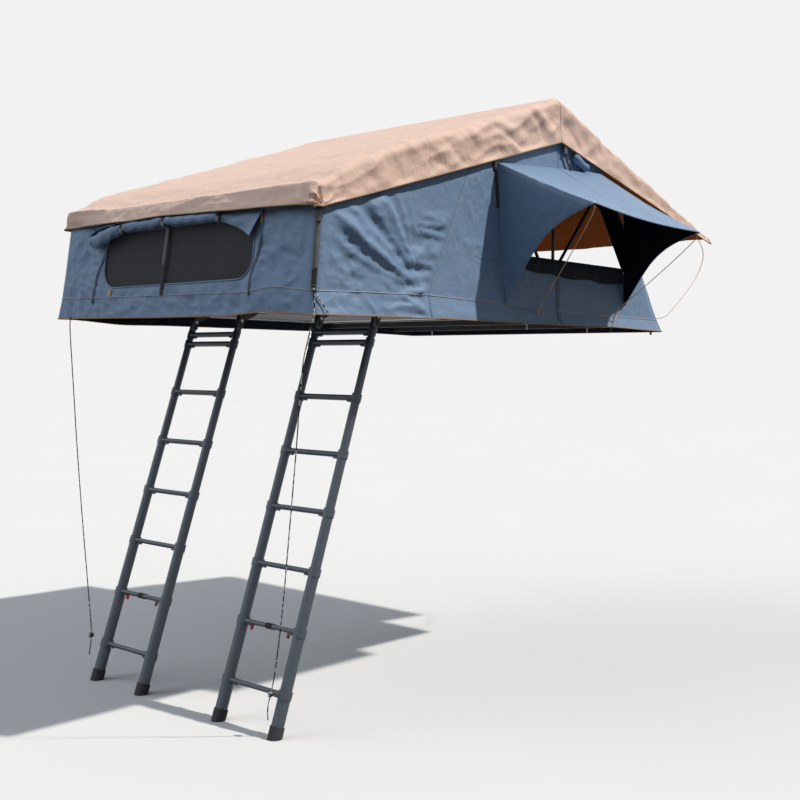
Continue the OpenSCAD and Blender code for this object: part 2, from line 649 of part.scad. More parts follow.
// One section across the fly, from one valance to the other
function fly_section(y, z, drop) = let (x = wall_x(z - drop) + fly_out) concat(
    [[x + 3 + 4 * sin(y * 1.3), y, z - drop], [x + 1 + 2 * sin(y * 1.3), y, z - drop * 0.5],
     [x - 1, y, z - min(22, drop * 0.25)], [x - 8, y, z - min(5, drop * 0.06)], [x - 34, y, z]],
    [for (s = [0.7:-0.35:-0.7]) [x * s, y, z + 3 * sin(y * 0.9 + 200 * s) * limit(drop / 60)]],
    [[-x + 34, y, z], [-x + 8, y, z - min(5, drop * 0.06)], [-x + 1, y, z - min(22, drop * 0.25)],
     [-x - 1 - 2 * sin(y * 1.3), y, z - drop * 0.5], [-x - 3 - 4 * sin(y * 1.3), y, z - drop]]);

module fly(sections_list) color(dusty_brown) skin(sections_list, cloth_t);

module fly_rear() {
    low = hinge_y + fly_ridge_gap;
    high = hinge_y + fly_reach;
    fly([for (i = [0:9]) let (y = lerp(low, high, i / 9)) fly_section(y, fly_z(y), fly_drop(y))]);
}

module fly_front() {
    low = out_y + cloth_gap;
    high = hinge_y - fly_ridge_gap;
    fly([for (i = [0:7]) let (y = lerp(low, high, i / 7)) fly_section(y, fly_z(y), fly_drop(y))]);
}

// Ladder end of the fly: it folds over the extension bow into a short valance
module fly_extension() {
    hem = fly_z(end_y) - drop_end;
    shoulder_z = fly_z(fly_end_y + 40);
    turn = [[8, 2], [0, 14], [-3, 50], [-6, 86], [-10, shoulder_z - hem - 8]];
    fly(concat(
        [for (i = [len(turn) - 1:-1:0]) let (z = shoulder_z - turn[i][1])
            fly_section(fly_end_y + turn[i][0], z, max(4, z - hem))],
        [for (i = [0:6]) let (y = lerp(fly_end_y + 40, out_y - cloth_gap, i / 6))
            fly_section(y, fly_z(y), fly_drop(y))]));
}

// Bent wire props of the fly's rear edge, standing on the corners of the fixed floor and bowed outwards
fly_rod_y = hinge_y + fly_reach - 12;
fly_rod_shape = [[0.297, 0.014], [0.484, 0.132], [0.868, 0.441], [1.06, 0.682], [1.095, 0.85]];
module fly_rods() color(dusty_brown) both_sides() sweep(curve(concat(
    [[half_w - 60, far_at(floor_top - 20) + cloth_gap + 0.18 * wire_d, floor_top - 20]],
    [for (p = fly_rod_shape) [half_w - 64, lerp(far_y, fly_rod_y, p[0]), floor_top + p[1] * fly_rear_h]],
    [[half_w - 68, fly_rod_y, fly_z(fly_rod_y) - 1.07 * cloth_t - 0.5 - wire_d / 2]]), 4),
    wire_d / 2, 6, [1, 0, 0]);

// Front and rear corners of an awning's outer edge
awning_top = floor_top + awning_h;
front_corner = [wall_x(awning_top) + awning_out + 16, hinge_y - door_front + 5, awning_top + 18];
rear_corner = [wall_x(awning_top) + awning_out - 20, hinge_y + door_rear - 40, awning_top - 18];

// Door awning: a hood whose cheeks narrow to points at the sill and whose top stands out over the door
module awning() {
    stand = cloth_gap + cloth_t / 2;
    cheek = [0, 0.2, 0.4, 0.6, 0.8];
    function on_wall(y, z) = [wall_x(z) + stand, y, z];
    function free_edge(foot, corner, c) = [lerp(foot[0], corner[0], 0.57 * c + 0.43 * pow(c, 6)),
                                           lerp(foot[1], corner[1], c), lerp(foot[2], corner[2], c)];
    rear_y = hinge_y + door_rear - 4;
    front_foot = on_wall(door_front_y(floor_top + 12) - 4, floor_top + 12);
    rear_foot = on_wall(rear_y, floor_top + 50);
    front_top = hood_line(hood_front_y);
    rear_top = hood_line(rear_y - 4);
    wall_line = concat(
        [for (c = cheek) let (z = lerp(front_foot[2], front_top, c)) on_wall(door_front_y(z) - 4, z)],
        [for (c = [0:0.125:1]) let (y = lerp(hood_front_y, rear_y - 4, c)) on_wall(y, hood_line(y))],
        [for (c = turned(cheek)) on_wall(rear_y, lerp(rear_foot[2], rear_top, c))]);
    outer_line = concat(
        [for (c = cheek) free_edge(front_foot + [14, 6, 4], front_corner, c)],
        [for (c = [0:0.125:1]) lerp(front_corner, rear_corner, c) - [0, 0, 16 * sin(180 * c)]],
        [for (c = turned(cheek)) free_edge(rear_foot + [14, -6, 4], rear_corner, c)]);
    skin([for (v = [0:4]) [for (i = [0:len(wall_line) - 1])
        lerp(wall_line[i], outer_line[i], v / 4) - [0, 0, 10 * sin(45 * v)]]], cloth_t);
}

module awning_right() color(slate_blue) awning();
module awning_left() color(slate_blue) mirror([1, 0, 0]) awning();

// Bent wire props of the awnings, each from the floor's side to just under an outer corner
module awning_rod(foot_y, foot_z, tip) {
    foot = [wall_x(foot_z) + cloth_gap + 0.5 * wire_d, foot_y, foot_z];
    function along(x, y, z) = [lerp(foot[0], tip[0], x), lerp(foot[1], tip[1], y), lerp(foot[2], tip[2], z)];
    sweep(curve([foot, along(0.03, 0.03, 0.08), along(0.3, 0.3, 0.3), along(0.7, 0.7, 0.65),
                 along(0.98, 0.98, 0.92), tip], 4), wire_d / 2, 6, [0, 1, 0]);
}

module awning_rods_front() color(dusty_brown) both_sides()
    awning_rod(hinge_y - 0.4 * door_front, floor_top - 40, front_corner + [-10, 12, -4]);

module awning_rods_rear() color(dusty_brown) both_sides()
    awning_rod(hinge_y + 0.876 * door_rear, floor_top - 10, rear_corner + [-10, -12, -4]);

// Door flaps rolled up on the sills
flap_r = 22;
module door_flap_rolls() color(black) both_sides() {
    top = floor_top + sill_h + 30;
    sweep([for (i = [0:10]) let (b = i / 10)
        [wall_x(top + flap_r) - cloth_t - cloth_gap - flap_r, lerp(hinge_y + 30, hinge_y + door_rear - 60, b),
         top - 6 * sin(180 * b)]], flap_r, 8, [0, 0, 1]);
}

// Ladder frame: the origin at the pivot, x across from the middle of the ladder, -z down along the stiles
module on_ladder(side) translate([side * ladder_spacing / 2, ladder_pivot[0], ladder_pivot[1]])
    rotate([-ladder_lean, 0, 0]) children();

// Clevis under the end of the folding floor for each stile, with a web that stops the ladder at its lean
module ladder_brackets() color(black)
    for (side = [-1, 1], s = [-1, 1]) translate([side * ladder_spacing / 2 + s * stile_spacing / 2, 0, 0]) {
        ear_x = lug_t / 2 + 0.5;
        translate([-bracket_w / 2, out_y + 2, rail_h - ear_t]) cube([bracket_w, bracket_l, ear_t]);
        difference() {
            for (e = [-ear_x - ear_t, ear_x]) translate([e, 0, 0]) rotate([90, 0, 90])
            linear_extrude(ear_t) union() {
                polygon([[out_y + 0.75 * bracket_l, rail_h - 1], [ladder_pivot[0] - 6, rail_h - 1],
                         [ladder_pivot[0] - 14, ladder_pivot[1] + 14], [ladder_pivot[0] + 20, ladder_pivot[1]],
                         [out_y + 0.25 * bracket_l, rail_h - 0.25 * bracket_l]]);
                translate(ladder_pivot) circle(lug_w / 2 + 3);
                translate(ladder_pivot) rotate(-ladder_lean) translate([0, -42])
                    square([lug_w / 2 + part_gap + ear_t, 42]);
            }
            translate([-30, ladder_pivot[0], ladder_pivot[1]]) rotate([0, 90, 0])
                cylinder(d = pin_d + 2 * run_gap, h = 60);
        }
        translate([0, ladder_pivot[0], ladder_pivot[1]]) rotate([-ladder_lean, 0, 0])
            translate([-ear_x - 1, lug_w / 2 + part_gap, -42]) cube([2 * ear_x + 2, ear_t, 28]);
    }

module ladder_pins() color(alloy)
    for (side = [-1, 1], s = [-1, 1])
        translate([side * ladder_spacing / 2 + s * stile_spacing / 2, ladder_pivot[0], ladder_pivot[1]])
            rotate([0, 90, 0]) {
                reach = lug_t / 2 + 0.5 + ear_t + part_gap;
                cylinder(d = pin_d, h = 2 * reach, center = true);
                for (e = [-reach - 4, reach]) translate([0, 0, e]) cylinder(d = pin_d + 8, h = 4);
            }

// One telescopic section: two tubes with collars at their tops, a grooved rung and its latch tabs
module ladder_section(k) color(ladder_grey) difference() {
    outer = tube_of(k);
    bore = outer - tube_step + 2 * tube_gap;
    rung_z = -rung_depth(k);
    reach = k == last ? foot_l - foot_wall - foot_cut : k == last - 1 ? tube_l - foot_cut : tube_l;
    union() {
        for (s = [-1, 1]) translate([s * stile_spacing / 2, 0, rung_z]) {
            translate([0, 0, -reach]) cylinder(d = outer, h = reach);
            translate([0, 0, -collar_h / 2]) cylinder(d = outer + 2 * collar_wall, h = collar_h);
            if (k == 0) stile_lug();
        }
        translate([-stile_spacing / 2, 0, rung_z]) rotate([90, 0, 90]) linear_extrude(stile_spacing)
            rung_profile();
        for (s = [-1, 1]) translate([s * (stile_spacing / 2 - outer / 2 - 26) - 12, -8, rung_z - rung_h / 2 - 9])
            cube([24, 16, 10]);
    }
    for (s = [-1, 1]) translate([s * stile_spacing / 2, 0, rung_z - reach - 1])
        cylinder(d = bore, h = reach + 1 + (k == 0 ? -collar_h / 2 : collar_h));
    if (k == 0) for (s = [-1, 1]) translate([s * stile_spacing / 2, 0, 0]) rotate([0, 90, 0])
        cylinder(d = pin_d + 2 * run_gap, h = lug_t + 2, center = true);
    if (k == button_rung) for (s = [-1, 1]) button_place(s)
        translate([0, 0, -button_hole]) cylinder(r = button_r + 2 * run_gap, h = button_hole + 20);
}

// Tread profile of a rung: round front and back, with three grooves along the top
module rung_profile() difference() {
    stadium(rung_w, rung_h);
    for (g = [-8, 0, 8]) translate([g - 1, rung_h / 2 - 1]) square([2, 2]);
}

// Flat eye that joins the top of a stile to its bracket
module stile_lug() {
    translate([-lug_t / 2, 0, rung_depth(0)]) rotate([0, 90, 0]) cylinder(d = lug_w, h = lug_t);
    translate([-lug_t / 2, -lug_w / 2, 0]) cube([lug_t, lug_w, rung_depth(0)]);
}

// Middle of a lock button, on the underside of its rung, with z pointing down out of the rung
module button_place(s) translate([s * (stile_spacing / 2 - tube_of(button_rung) / 2 - 48), 0,
                                  -rung_depth(button_rung) - rung_h / 2]) rotate([180, 0, 0]) children();

module ladder_button(s) color("red") button_place(s) {
    translate([0, 0, -button_hole / 2]) cylinder(r = button_r, h = button_hole / 2 + button_out - 4);
    translate([0, 0, button_out - 4]) cylinder(r1 = button_r, r2 = button_r - 3, h = 4);
}

// Rubber feet: cups on the ends of the lowest stiles, cut level with the ground
module ladder_feet(side) color(black) difference() {
    on_ladder(side) for (s = [-1, 1]) translate([s * stile_spacing / 2, 0, -rung_depth(last) - foot_l])
    difference() {
        translate([0, 0, -30]) cylinder(d = tube_of(last) + 2 * foot_wall, h = foot_h + 30);
        translate([0, 0, foot_wall + foot_cut]) cylinder(d = tube_of(last) + 2 * run_gap, h = foot_h);
    }
    translate([-floor_w, ladder_pivot[0] - floor_w, ground_z - foot_l]) cube([2 * floor_w, 2 * floor_w, foot_l]);
}

// Carrying strap wrapped round a low rung
module ladder_strap(side) color(black) on_ladder(side) translate([-22, 0, -rung_depth(button_rung)])
    rotate([90, 0, 90]) linear_extrude(44) difference() {
        stadium(rung_w + 2 * (part_gap + 3), rung_h + 2 * (part_gap + 3));
        stadium(rung_w + 2 * part_gap, rung_h + 2 * part_gap);
    }

// Guy ropes: each hangs from a corner of the extension to a low rung of the nearer ladder
rope_d = 6;
left_route = [[-959, -2624.5, -30], [-957.5, -2629.6, -90], [-944, -2616, -400], [-926, -2598, -800],
              [-902, -2578, -1200], [-874, -2560, -1560], [-850, -2552, -1800], [-842, -2552, -1890],
              [-846, -2556, -1960], [-858, -2556, -2010]];
right_route = [[1096.3, -2601.2, 83.5], [1105.5, -2607, 40], [1117, -2615, -10], [1122, -2626, -60],
               [1100, -2640, -170], [1064, -2640, -310], [1000, -2616, -700], [930, -2592, -1100],
               [860, -2570, -1500], [796, -2556, -1800], [760, -2552, -1925], [748, -2560, -1990],
               [744, -2556, -2060]];

module rope_left() color(black) sweep(curve(left_route, 4), rope_d / 2, 8, [0, 1, 0]);
module rope_right() color(black) sweep(curve(right_route, 4), rope_d / 2, 8, [0, 1, 0]);

// Short tails of webbing that hang from the fixed floor's edge
tail_l = 82;
tail_w = 25;
module base_strap_tails() color(black) for (share = [0.1, 0.517, 0.933])
    translate([half_w - frame_w / 2, hinge_y + share * floor_l, rail_h - tail_l]) cube([2, tail_w, tail_l]);

module ladder_part(side, k) on_ladder(side) ladder_section(k);

mount_rails();
mount_studs();
base_floor_frame();
base_floor_panel();
base_hinge_plates();
hinge_pins();
base_mattress();
fold_floor_frame();
fold_floor_panel();
fold_hinge_plates();
fold_mattress();
extension_pins();
ridge_bow();
front_bow();
rear_bow();
extension_bow();
canopy_rear();
canopy_front();
canopy_extension();
window_mesh();
window_cover_roll();
canopy_straps();
fly_rear();
fly_front();
fly_extension();
fly_rods();
awning_right();
awning_left();
awning_rods_rear();
awning_rods_front();
door_flap_rolls();
ladder_brackets();
ladder_pins();
for (k = [1:sections]) {
    ladder_part(-1, k - 1);
    ladder_part(1, k - 1);
}
ladder_feet(-1);  // ladder_left_feet
ladder_feet(1);  // ladder_right_feet
ladder_strap(-1);  // ladder_left_strap
ladder_strap(1);  // ladder_right_strap
on_ladder(-1) ladder_button(-1);  // ladder_left_button_outer
on_ladder(-1) ladder_button(1);  // ladder_left_button_inner
on_ladder(1) ladder_button(1);  // ladder_right_button_outer
on_ladder(1) ladder_button(-1);  // ladder_right_button_inner
rope_left();
rope_right();
base_strap_tails();
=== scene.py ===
import math

import bmesh
import bpy
import numpy as np
from mathutils import Matrix, Vector, noise


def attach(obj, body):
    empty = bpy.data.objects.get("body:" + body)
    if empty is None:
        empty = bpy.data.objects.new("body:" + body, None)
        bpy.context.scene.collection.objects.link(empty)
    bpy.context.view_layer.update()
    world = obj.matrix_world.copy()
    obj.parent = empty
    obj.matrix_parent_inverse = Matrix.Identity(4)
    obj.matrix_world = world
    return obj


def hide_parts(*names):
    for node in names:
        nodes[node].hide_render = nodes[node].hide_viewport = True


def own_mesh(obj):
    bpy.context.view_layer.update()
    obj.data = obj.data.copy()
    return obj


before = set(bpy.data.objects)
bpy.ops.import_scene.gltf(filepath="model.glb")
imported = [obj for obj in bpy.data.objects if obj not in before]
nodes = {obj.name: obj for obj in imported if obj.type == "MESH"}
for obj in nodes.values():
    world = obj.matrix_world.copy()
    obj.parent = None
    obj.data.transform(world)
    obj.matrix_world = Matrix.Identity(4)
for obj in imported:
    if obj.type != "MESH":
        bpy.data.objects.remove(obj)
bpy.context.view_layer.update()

# Stage: a pale studio floor under the ladders' feet and a pale surround, lit as on an open day by a high sun
# on the gable side and a wide soft fill. The camera stands off the right corner of the ladder end.
ground_z = -2.1474
floor_half = 40.0


def srgb(red, green, blue):
    """A colour written as it looks on screen, 0 to 255, as the linear colour that a shader takes."""
    parts = [value / 255 for value in (red, green, blue)]
    return tuple(p / 12.92 if p < 0.04045 else ((p + 0.055) / 1.055) ** 2.4 for p in parts) + (1.0,)


class Flow:
    """A value on its way through the nodes. Arithmetic on it adds Math nodes."""

    def __init__(self, tree, socket):
        self.tree = tree
        self.socket = socket

    def work(self, operation, first, second):
        step = self.tree.nodes.new("ShaderNodeMath")
        step.operation = operation
        plug(self.tree, step.inputs[0], first)
        plug(self.tree, step.inputs[1], second)
        return Flow(self.tree, step.outputs[0])

    def __add__(self, other):
        return self.work("ADD", self, other)

    def __radd__(self, other):
        return self.work("ADD", other, self)

    def __mul__(self, other):
        return self.work("MULTIPLY", self, other)

    def __rmul__(self, other):
        return self.work("MULTIPLY", other, self)

    def __gt__(self, other):
        return self.work("GREATER_THAN", self, other)

    def larger(self, other):
        return self.work("MAXIMUM", self, other)


def plug(tree, socket, value):
    if isinstance(value, Flow):
        tree.links.new(value.socket, socket)
    else:
        socket.default_value = value


class Nodes:
    """The nodes of a finish or of the surround. Every kind of node comes from one method."""

    def __init__(self, tree):
        self.tree = tree

    def node(self, kind, settings=None, values=None, out=0):
        step = self.tree.nodes.new(kind)
        for key, value in (settings or {}).items():
            setattr(step, key, value)
        for key, value in (values or {}).items():
            plug(self.tree, step.inputs[key], value)
        return Flow(self.tree, step.outputs[out])

    def in_view(self):
        """1 for the rays that see: the camera's, those off gloss and those through glass."""
        kinds = ("Is Camera Ray", "Is Glossy Ray", "Is Transmission Ray")
        camera_ray, glossy_ray, glass_ray = [self.node("ShaderNodeLightPath", out=kind) for kind in kinds]
        return camera_ray.larger(glossy_ray).larger(glass_ray)


class Finish(Nodes):
    """One surface finish: a Principled shader and the nodes that feed it."""

    def __init__(self, name, **settings):
        self.material = bpy.data.materials.new(name)
        self.material.use_nodes = True
        super().__init__(self.material.node_tree)
        self.shader = self.tree.nodes["Principled BSDF"]
        self.set(**settings)

    def set(self, **settings):
        for name, value in settings.items():
            plug(self.tree, self.shader.inputs[name.replace("_", " ")], value)

    def place(self):
        return self.node("ShaderNodeTexCoord", out="Object")

    def clouds(self, scale, detail=3.0, rough=0.55, stretch=(1, 1, 1)):
        spot = self.node("ShaderNodeMapping", {}, {"Vector": self.place(), "Scale": stretch})
        return self.node("ShaderNodeTexNoise", {}, {"Vector": spot, "Scale": scale, "Detail": detail,
                                                    "Roughness": rough})

    def threads(self, scale, direction):
        return self.node("ShaderNodeTexWave", {"wave_type": "BANDS", "bands_direction": direction},
                         {"Vector": self.place(), "Scale": scale, "Distortion": 0.6, "Detail": 1.0})

    def tint(self, factor, first, second):
        return self.node("ShaderNodeMix", {"data_type": "RGBA"}, {0: factor, 6: first, 7: second}, out=2)

    def dye(self, factor, first, second):
        self.set(Base_Color=self.tint(factor, srgb(*first), srgb(*second)))

    def grain(self, height, strength, distance):
        self.set(Normal=self.node("ShaderNodeBump", {}, {"Strength": strength, "Distance": distance,
                                                         "Height": height}))


def shape(name, points, faces, finishes, parts=None):
    """A mesh object from points and faces; parts gives each face's finish by number."""
    mesh = bpy.data.meshes.new(name)
    mesh.from_pydata([tuple(map(float, p)) for p in points], [], [tuple(map(int, f)) for f in faces])
    for finish in finishes:
        mesh.materials.append(finish.material)
    if parts is not None:
        mesh.polygons.foreach_set("material_index", list(parts))
    mesh.polygons.foreach_set("use_smooth", [True] * len(mesh.polygons))
    mesh.update()
    made = bpy.data.objects.new(name, mesh)
    bpy.context.scene.collection.objects.link(made)
    return made


floor_finish = Finish("pale_floor", Roughness=0.9, Specular_IOR_Level=0.1)
floor_pale = floor_finish.tint(floor_finish.clouds(0.4), srgb(210, 211, 213), srgb(213, 214, 216))
floor_dim = srgb(66, 66, 68)
floor_finish.set(Base_Color=floor_finish.tint(floor_finish.in_view(), floor_dim, floor_pale))
floor_corners = [(-floor_half, -floor_half, ground_z), (floor_half, -floor_half, ground_z),
                 (floor_half, floor_half, ground_z), (-floor_half, floor_half, ground_z)]
shape("studio_floor", floor_corners, [(0, 1, 2, 3)], [floor_finish])

surround = bpy.data.worlds.new("surround")
surround.use_nodes = True
bpy.context.scene.world = surround
surround_nodes = surround.node_tree.nodes
surround_nodes.remove(surround_nodes["Background"])
sky = Nodes(surround.node_tree)
day_blue = (0.88, 0.97, 1.08, 1.0)
high_light = sky.node("ShaderNodeBackground", {}, {"Color": day_blue, "Strength": 0.44})
low_light = sky.node("ShaderNodeBackground", {}, {"Color": day_blue, "Strength": 0.05})
backdrop = sky.node("ShaderNodeBackground", {}, {"Color": srgb(242, 242, 242), "Strength": 1.0})
direction = sky.node("ShaderNodeTexCoord", out="Generated")
way_up = sky.node("ShaderNodeSeparateXYZ", {}, {0: direction}, out="Z")
daylight = sky.node("ShaderNodeMixShader", {}, {0: way_up, 1: low_light, 2: high_light})
shown = sky.node("ShaderNodeMixShader", {}, {0: sky.in_view(), 1: daylight, 2: backdrop})
plug(surround.node_tree, surround_nodes["World Output"].inputs["Surface"], shown)


def sun(name, energy, spread, colour, towards):
    """A sun lamp with its spread in degrees; towards points from the tent to it."""
    lamp = bpy.data.lights.new(name, "SUN")
    lamp.energy = energy
    lamp.angle = math.radians(spread)
    lamp.color = colour
    holder = bpy.data.objects.new(name, lamp)
    holder.rotation_euler = Vector(towards).to_track_quat("Z", "Y").to_euler()
    bpy.context.scene.collection.objects.link(holder)


sun("key_light", 3.5, 1.5, (1.0, 0.945, 0.865), (0.50, 0.32, 0.80))
sun("fill_light", 0.98, 50, (0.94, 0.98, 1.0), (-0.50, -0.60, 0.62))

camera_place = Vector((5.0644, -6.3546, -0.2985))
camera_yaw = math.radians(42.249)
camera_pitch = math.radians(-1.5217)
camera_roll = math.radians(0.6186)
level = math.cos(camera_pitch)
ahead = Vector((-math.sin(camera_yaw) * level, math.cos(camera_yaw) * level, math.sin(camera_pitch)))
across = Vector((math.cos(camera_yaw), math.sin(camera_yaw), 0))
upward = across.cross(ahead)
rolled_across = across * math.cos(camera_roll) + upward * math.sin(camera_roll)
rolled_upward = upward * math.cos(camera_roll) - across * math.sin(camera_roll)
camera_turn = Matrix((rolled_across, rolled_upward, -ahead)).transposed().to_4x4()
camera_data = bpy.data.cameras.new("camera")
camera_data.sensor_width = 36.0
camera_data.lens = 51.79
camera = bpy.data.objects.new("camera", camera_data)
camera.matrix_world = Matrix.Translation(camera_place) @ camera_turn
bpy.context.scene.collection.objects.link(camera)
bpy.context.scene.camera = camera
bpy.context.scene.view_settings.view_transform = "Standard"

# Guy ropes: braided 6 mm cord, black with a white fleck. Each is tied at a corner of the extension
# and hangs to the lowest rung of the nearer ladder, where it is knotted and its tail is left loose.
rope_thick = 0.006
knot_laps = 3
rope_finish = Finish("flecked_rope", Roughness=0.85, Specular_IOR_Level=0.2)
rope_fleck = rope_finish.node("ShaderNodeTexVoronoi", {"feature": "F1"},
                              {"Vector": rope_finish.place(), "Scale": 62.0, "Randomness": 1.0}, out="Color")
rope_pale = rope_finish.node("ShaderNodeSeparateColor", {}, {0: rope_fleck}) > 0.64
rope_finish.dye(rope_pale, (22, 22, 24), (205, 205, 205))
rope_finish.grain(rope_finish.clouds(420.0), 0.5, 0.001)


def spots(x, y, z):
    """Points from their x, y and z, of which a single number serves for all the points."""
    return np.stack(np.broadcast_arrays(x, y, z), axis=-1).astype(float)


def smooth_path(points, steps):
    """A smooth curve through points, with steps pieces between each two."""
    points = [np.array(p, float) for p in points]
    made = []
    for i in range(len(points) - 1):
        before = points[max(i - 1, 0)]
        start, stop = points[i], points[i + 1]
        after = points[min(i + 2, len(points) - 1)]
        for t in np.arange(steps) / steps:
            made.append(0.5 * (2 * start + (stop - before) * t
                               + (2 * before - 5 * start + 4 * stop - after) * t * t
                               + (3 * start - before - 3 * stop + after) * t ** 3))
    made.append(points[-1])
    return np.array(made)


def tube_mesh(path, radius, sides):
    """Points and faces of a closed round tube along a path; radius may change from point to point."""
    path = np.asarray(path, float)
    radii = np.broadcast_to(radius, (len(path),))
    ways = np.gradient(path, axis=0)
    ways /= np.linalg.norm(ways, axis=1)[:, None]
    side = np.cross(ways[0], (0.3, 0.5, 0.81))
    points = []
    for place, way, reach in zip(path, ways, radii):
        side = side - way * np.dot(side, way)
        side /= np.linalg.norm(side)
        lift = np.cross(way, side)
        for s in range(sides):
            turn = 2 * math.pi * s / sides
            points.append(place + reach * (math.cos(turn) * side + math.sin(turn) * lift))
    last = (len(path) - 1) * sides
    faces = [(at + s, at + (s + 1) % sides, at + sides + (s + 1) % sides, at + sides + s)
             for at in range(0, last, sides) for s in range(sides)]
    faces.append(tuple(range(sides - 1, -1, -1)))
    faces.append(tuple(last + s for s in range(sides)))
    return points, faces


class Sewn:
    """Trims that go together as one object: their points, faces and finishes are collected, then made."""

    def __init__(self):
        self.points, self.faces, self.parts, self.finishes = [], [], [], []

    def add(self, mesh, finish):
        points, faces = mesh
        if finish not in self.finishes:
            self.finishes.append(finish)
        start = len(self.points)
        self.points.extend(points)
        self.faces.extend(tuple(start + corner for corner in face) for face in faces)
        self.parts.extend([self.finishes.index(finish)] * len(faces))

    def make(self, name):
        return shape(name, self.points, self.faces, self.finishes, self.parts)


def goes_with(piece, body):
    """A soft piece, carried by the given body."""
    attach(piece, body)
    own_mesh(piece)
    return piece


rope_routes = {
    "left": [(-0.959, -2.6245, -0.008), (-0.9575, -2.6296, -0.090), (-0.944, -2.616, -0.400),
             (-0.926, -2.598, -0.800), (-0.902, -2.578, -1.200), (-0.874, -2.560, -1.560),
             (-0.850, -2.552, -1.800), (-0.842, -2.552, -1.890), (-0.846, -2.556, -1.960),
             (-0.858, -2.556, -2.010)],
    "right": [(1.0963, -2.6012, 0.0835), (1.1055, -2.607, 0.040), (1.117, -2.615, -0.010),
              (1.122, -2.626, -0.060), (1.100, -2.640, -0.170), (1.064, -2.640, -0.310),
              (1.000, -2.616, -0.700), (0.930, -2.592, -1.100), (0.860, -2.570, -1.500),
              (0.796, -2.556, -1.800), (0.760, -2.552, -1.925), (0.748, -2.560, -1.990),
              (0.744, -2.556, -2.060)]}
rope_ties = {"left": 7, "right": 10}
corner_loop = [(1.0985, -2.6035, 0.080), (1.122, -2.588, 0.030), (1.146, -2.552, -0.034)]
for side, route in rope_routes.items():
    rope_path = smooth_path(route, 6)
    rope = shape("guy_rope_" + side, *tube_mesh(rope_path, rope_thick / 2, 10), [rope_finish])
    knot = Sewn()
    tie_x, tie_y, tie_z = route[rope_ties[side]]
    for lap in range(knot_laps):
        angles = np.linspace(0, 2 * math.pi, 25)
        hoop = spots(tie_x + 0.013 * np.cos(angles + lap), tie_y + 0.011 * np.sin(angles + lap),
                     tie_z - 0.008 + 0.008 * lap + 0.004 * np.sin(angles))
        knot.add(tube_mesh(hoop, rope_thick / 2, 8), rope_finish)
    if side == "right":
        knot.add(tube_mesh(smooth_path(corner_loop, 6), rope_thick / 2, 8), rope_finish)
    rope_knot = knot.make("guy_rope_knot_" + side)
    for rope_piece in (rope, rope_knot):
        goes_with(rope_piece, "extension_bow")
    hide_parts("rope_" + side)

# Canopy walls: slate blue poly-cotton canvas sewn to the fly's tapes above and hung over the floor's edge
# as a skirt. The walls lean in a little, and pull into slanting folds between the shoulder and the floor.
floor_top = 0.080
hem_height = -0.046
skirt_drop = floor_top - hem_height
skirt_flare = 0.026
skirt_share = 0.2
fold_line_y = -0.600
floor_end_y = -1.790
seam_top_y = -1.332
seam_gap = 0.0004
end_foot_y = -2.612
end_zone_y = -2.55
end_top_z = 0.5745
far_foot_y = 0.6043
far_top_z = 0.880
half_wall = 1.1068
wall_corner = 0.045
sill_z = 0.295
sill_rise = 0.040
gable_tuck = 0.030
ridge_z = 1.30
fly_ridge_z = 1.338
fly_reach = 1.885
canvas_thick = 0.0018
piping_radius = 0.0026
binding_radius = 0.0036
window_hem_radius = 0.0042
both_sides = (("right", 1), ("left", -1))
to_left = np.array((-1, 1, 1))


def clouded(name, scale, first, second, gloss=None, weave=None, grit=None, **settings):
    """A finish that drifts between two tones. Gloss is its least roughness, the spread of that and its scale,
    weave its threads' direction, scale and depth, and grit its grain's scale, depth and height."""
    finish = Finish(name, **settings)
    finish.dye(finish.clouds(scale), first, second)
    if gloss:
        finish.set(Roughness=gloss[0] + finish.clouds(gloss[2]) * gloss[1])
    if weave:
        finish.grain(finish.threads(weave[1], weave[0]), weave[2], 0.001)
    if grit:
        finish.grain(finish.clouds(grit[0]), grit[1], grit[2])
    return finish


canvas = Finish("slate_canvas", Roughness=0.6, Specular_IOR_Level=0.22, Sheen_Weight=0.1,
                Sheen_Roughness=0.45)
canvas_tone = canvas.clouds(2.2, 4.0, 0.6)
canvas_wear = canvas.clouds(14.0, 5.0, 0.65)
canvas_dye = canvas.tint(canvas_tone, srgb(102, 130, 164), srgb(122, 150, 183))
canvas.set(Base_Color=canvas.tint(canvas_wear * 0.35, canvas_dye, srgb(142, 161, 185)))
canvas.set(Roughness=0.40 + canvas_wear * 0.2)
canvas_crush = canvas.clouds(16.0, 5.0, 0.6) * 1.2 + canvas.clouds(42.0, 4.0, 0.6) * 0.4
canvas.grain(canvas_crush + canvas.threads(260.0, "Z") * 0.02, 0.5, 0.010)
canvas_inside = clouded("canvas_inside", 9.0, (26, 31, 39), (36, 42, 51), weave=("Z", 260.0, 0.15),
                        Roughness=0.85, Specular_IOR_Level=0.1)
grey_piping = clouded("grey_piping", 60.0, (150, 150, 158), (178, 176, 180), Roughness=0.7)
tan_binding = clouded("tan_binding", 50.0, (150, 108, 74), (181, 140, 102), Roughness=0.75)


def between(first, second, share):
    return first + (second - first) * share


def limit(value):
    return np.clip(value, 0.0, 1.0)


def ease(value):
    value = limit(value)
    return value * value * (3 - 2 * value)


def side_wall_x(z):
    """The right wall's distance from the middle: it flares over the skirt and leans in above the floor."""
    z = np.asarray(z, float)
    flare = skirt_flare * (floor_top - z) / skirt_drop
    lean = -0.022 * (z - floor_top) / 1.22
    return half_wall + np.where(z < floor_top, flare, lean)


def end_wall_at(z):
    z = np.asarray(z, float)
    return np.where(z < floor_top, end_foot_y - 0.0104 * (floor_top - z) / skirt_drop,
                    between(end_foot_y, -2.564, (z - floor_top) / 0.48))


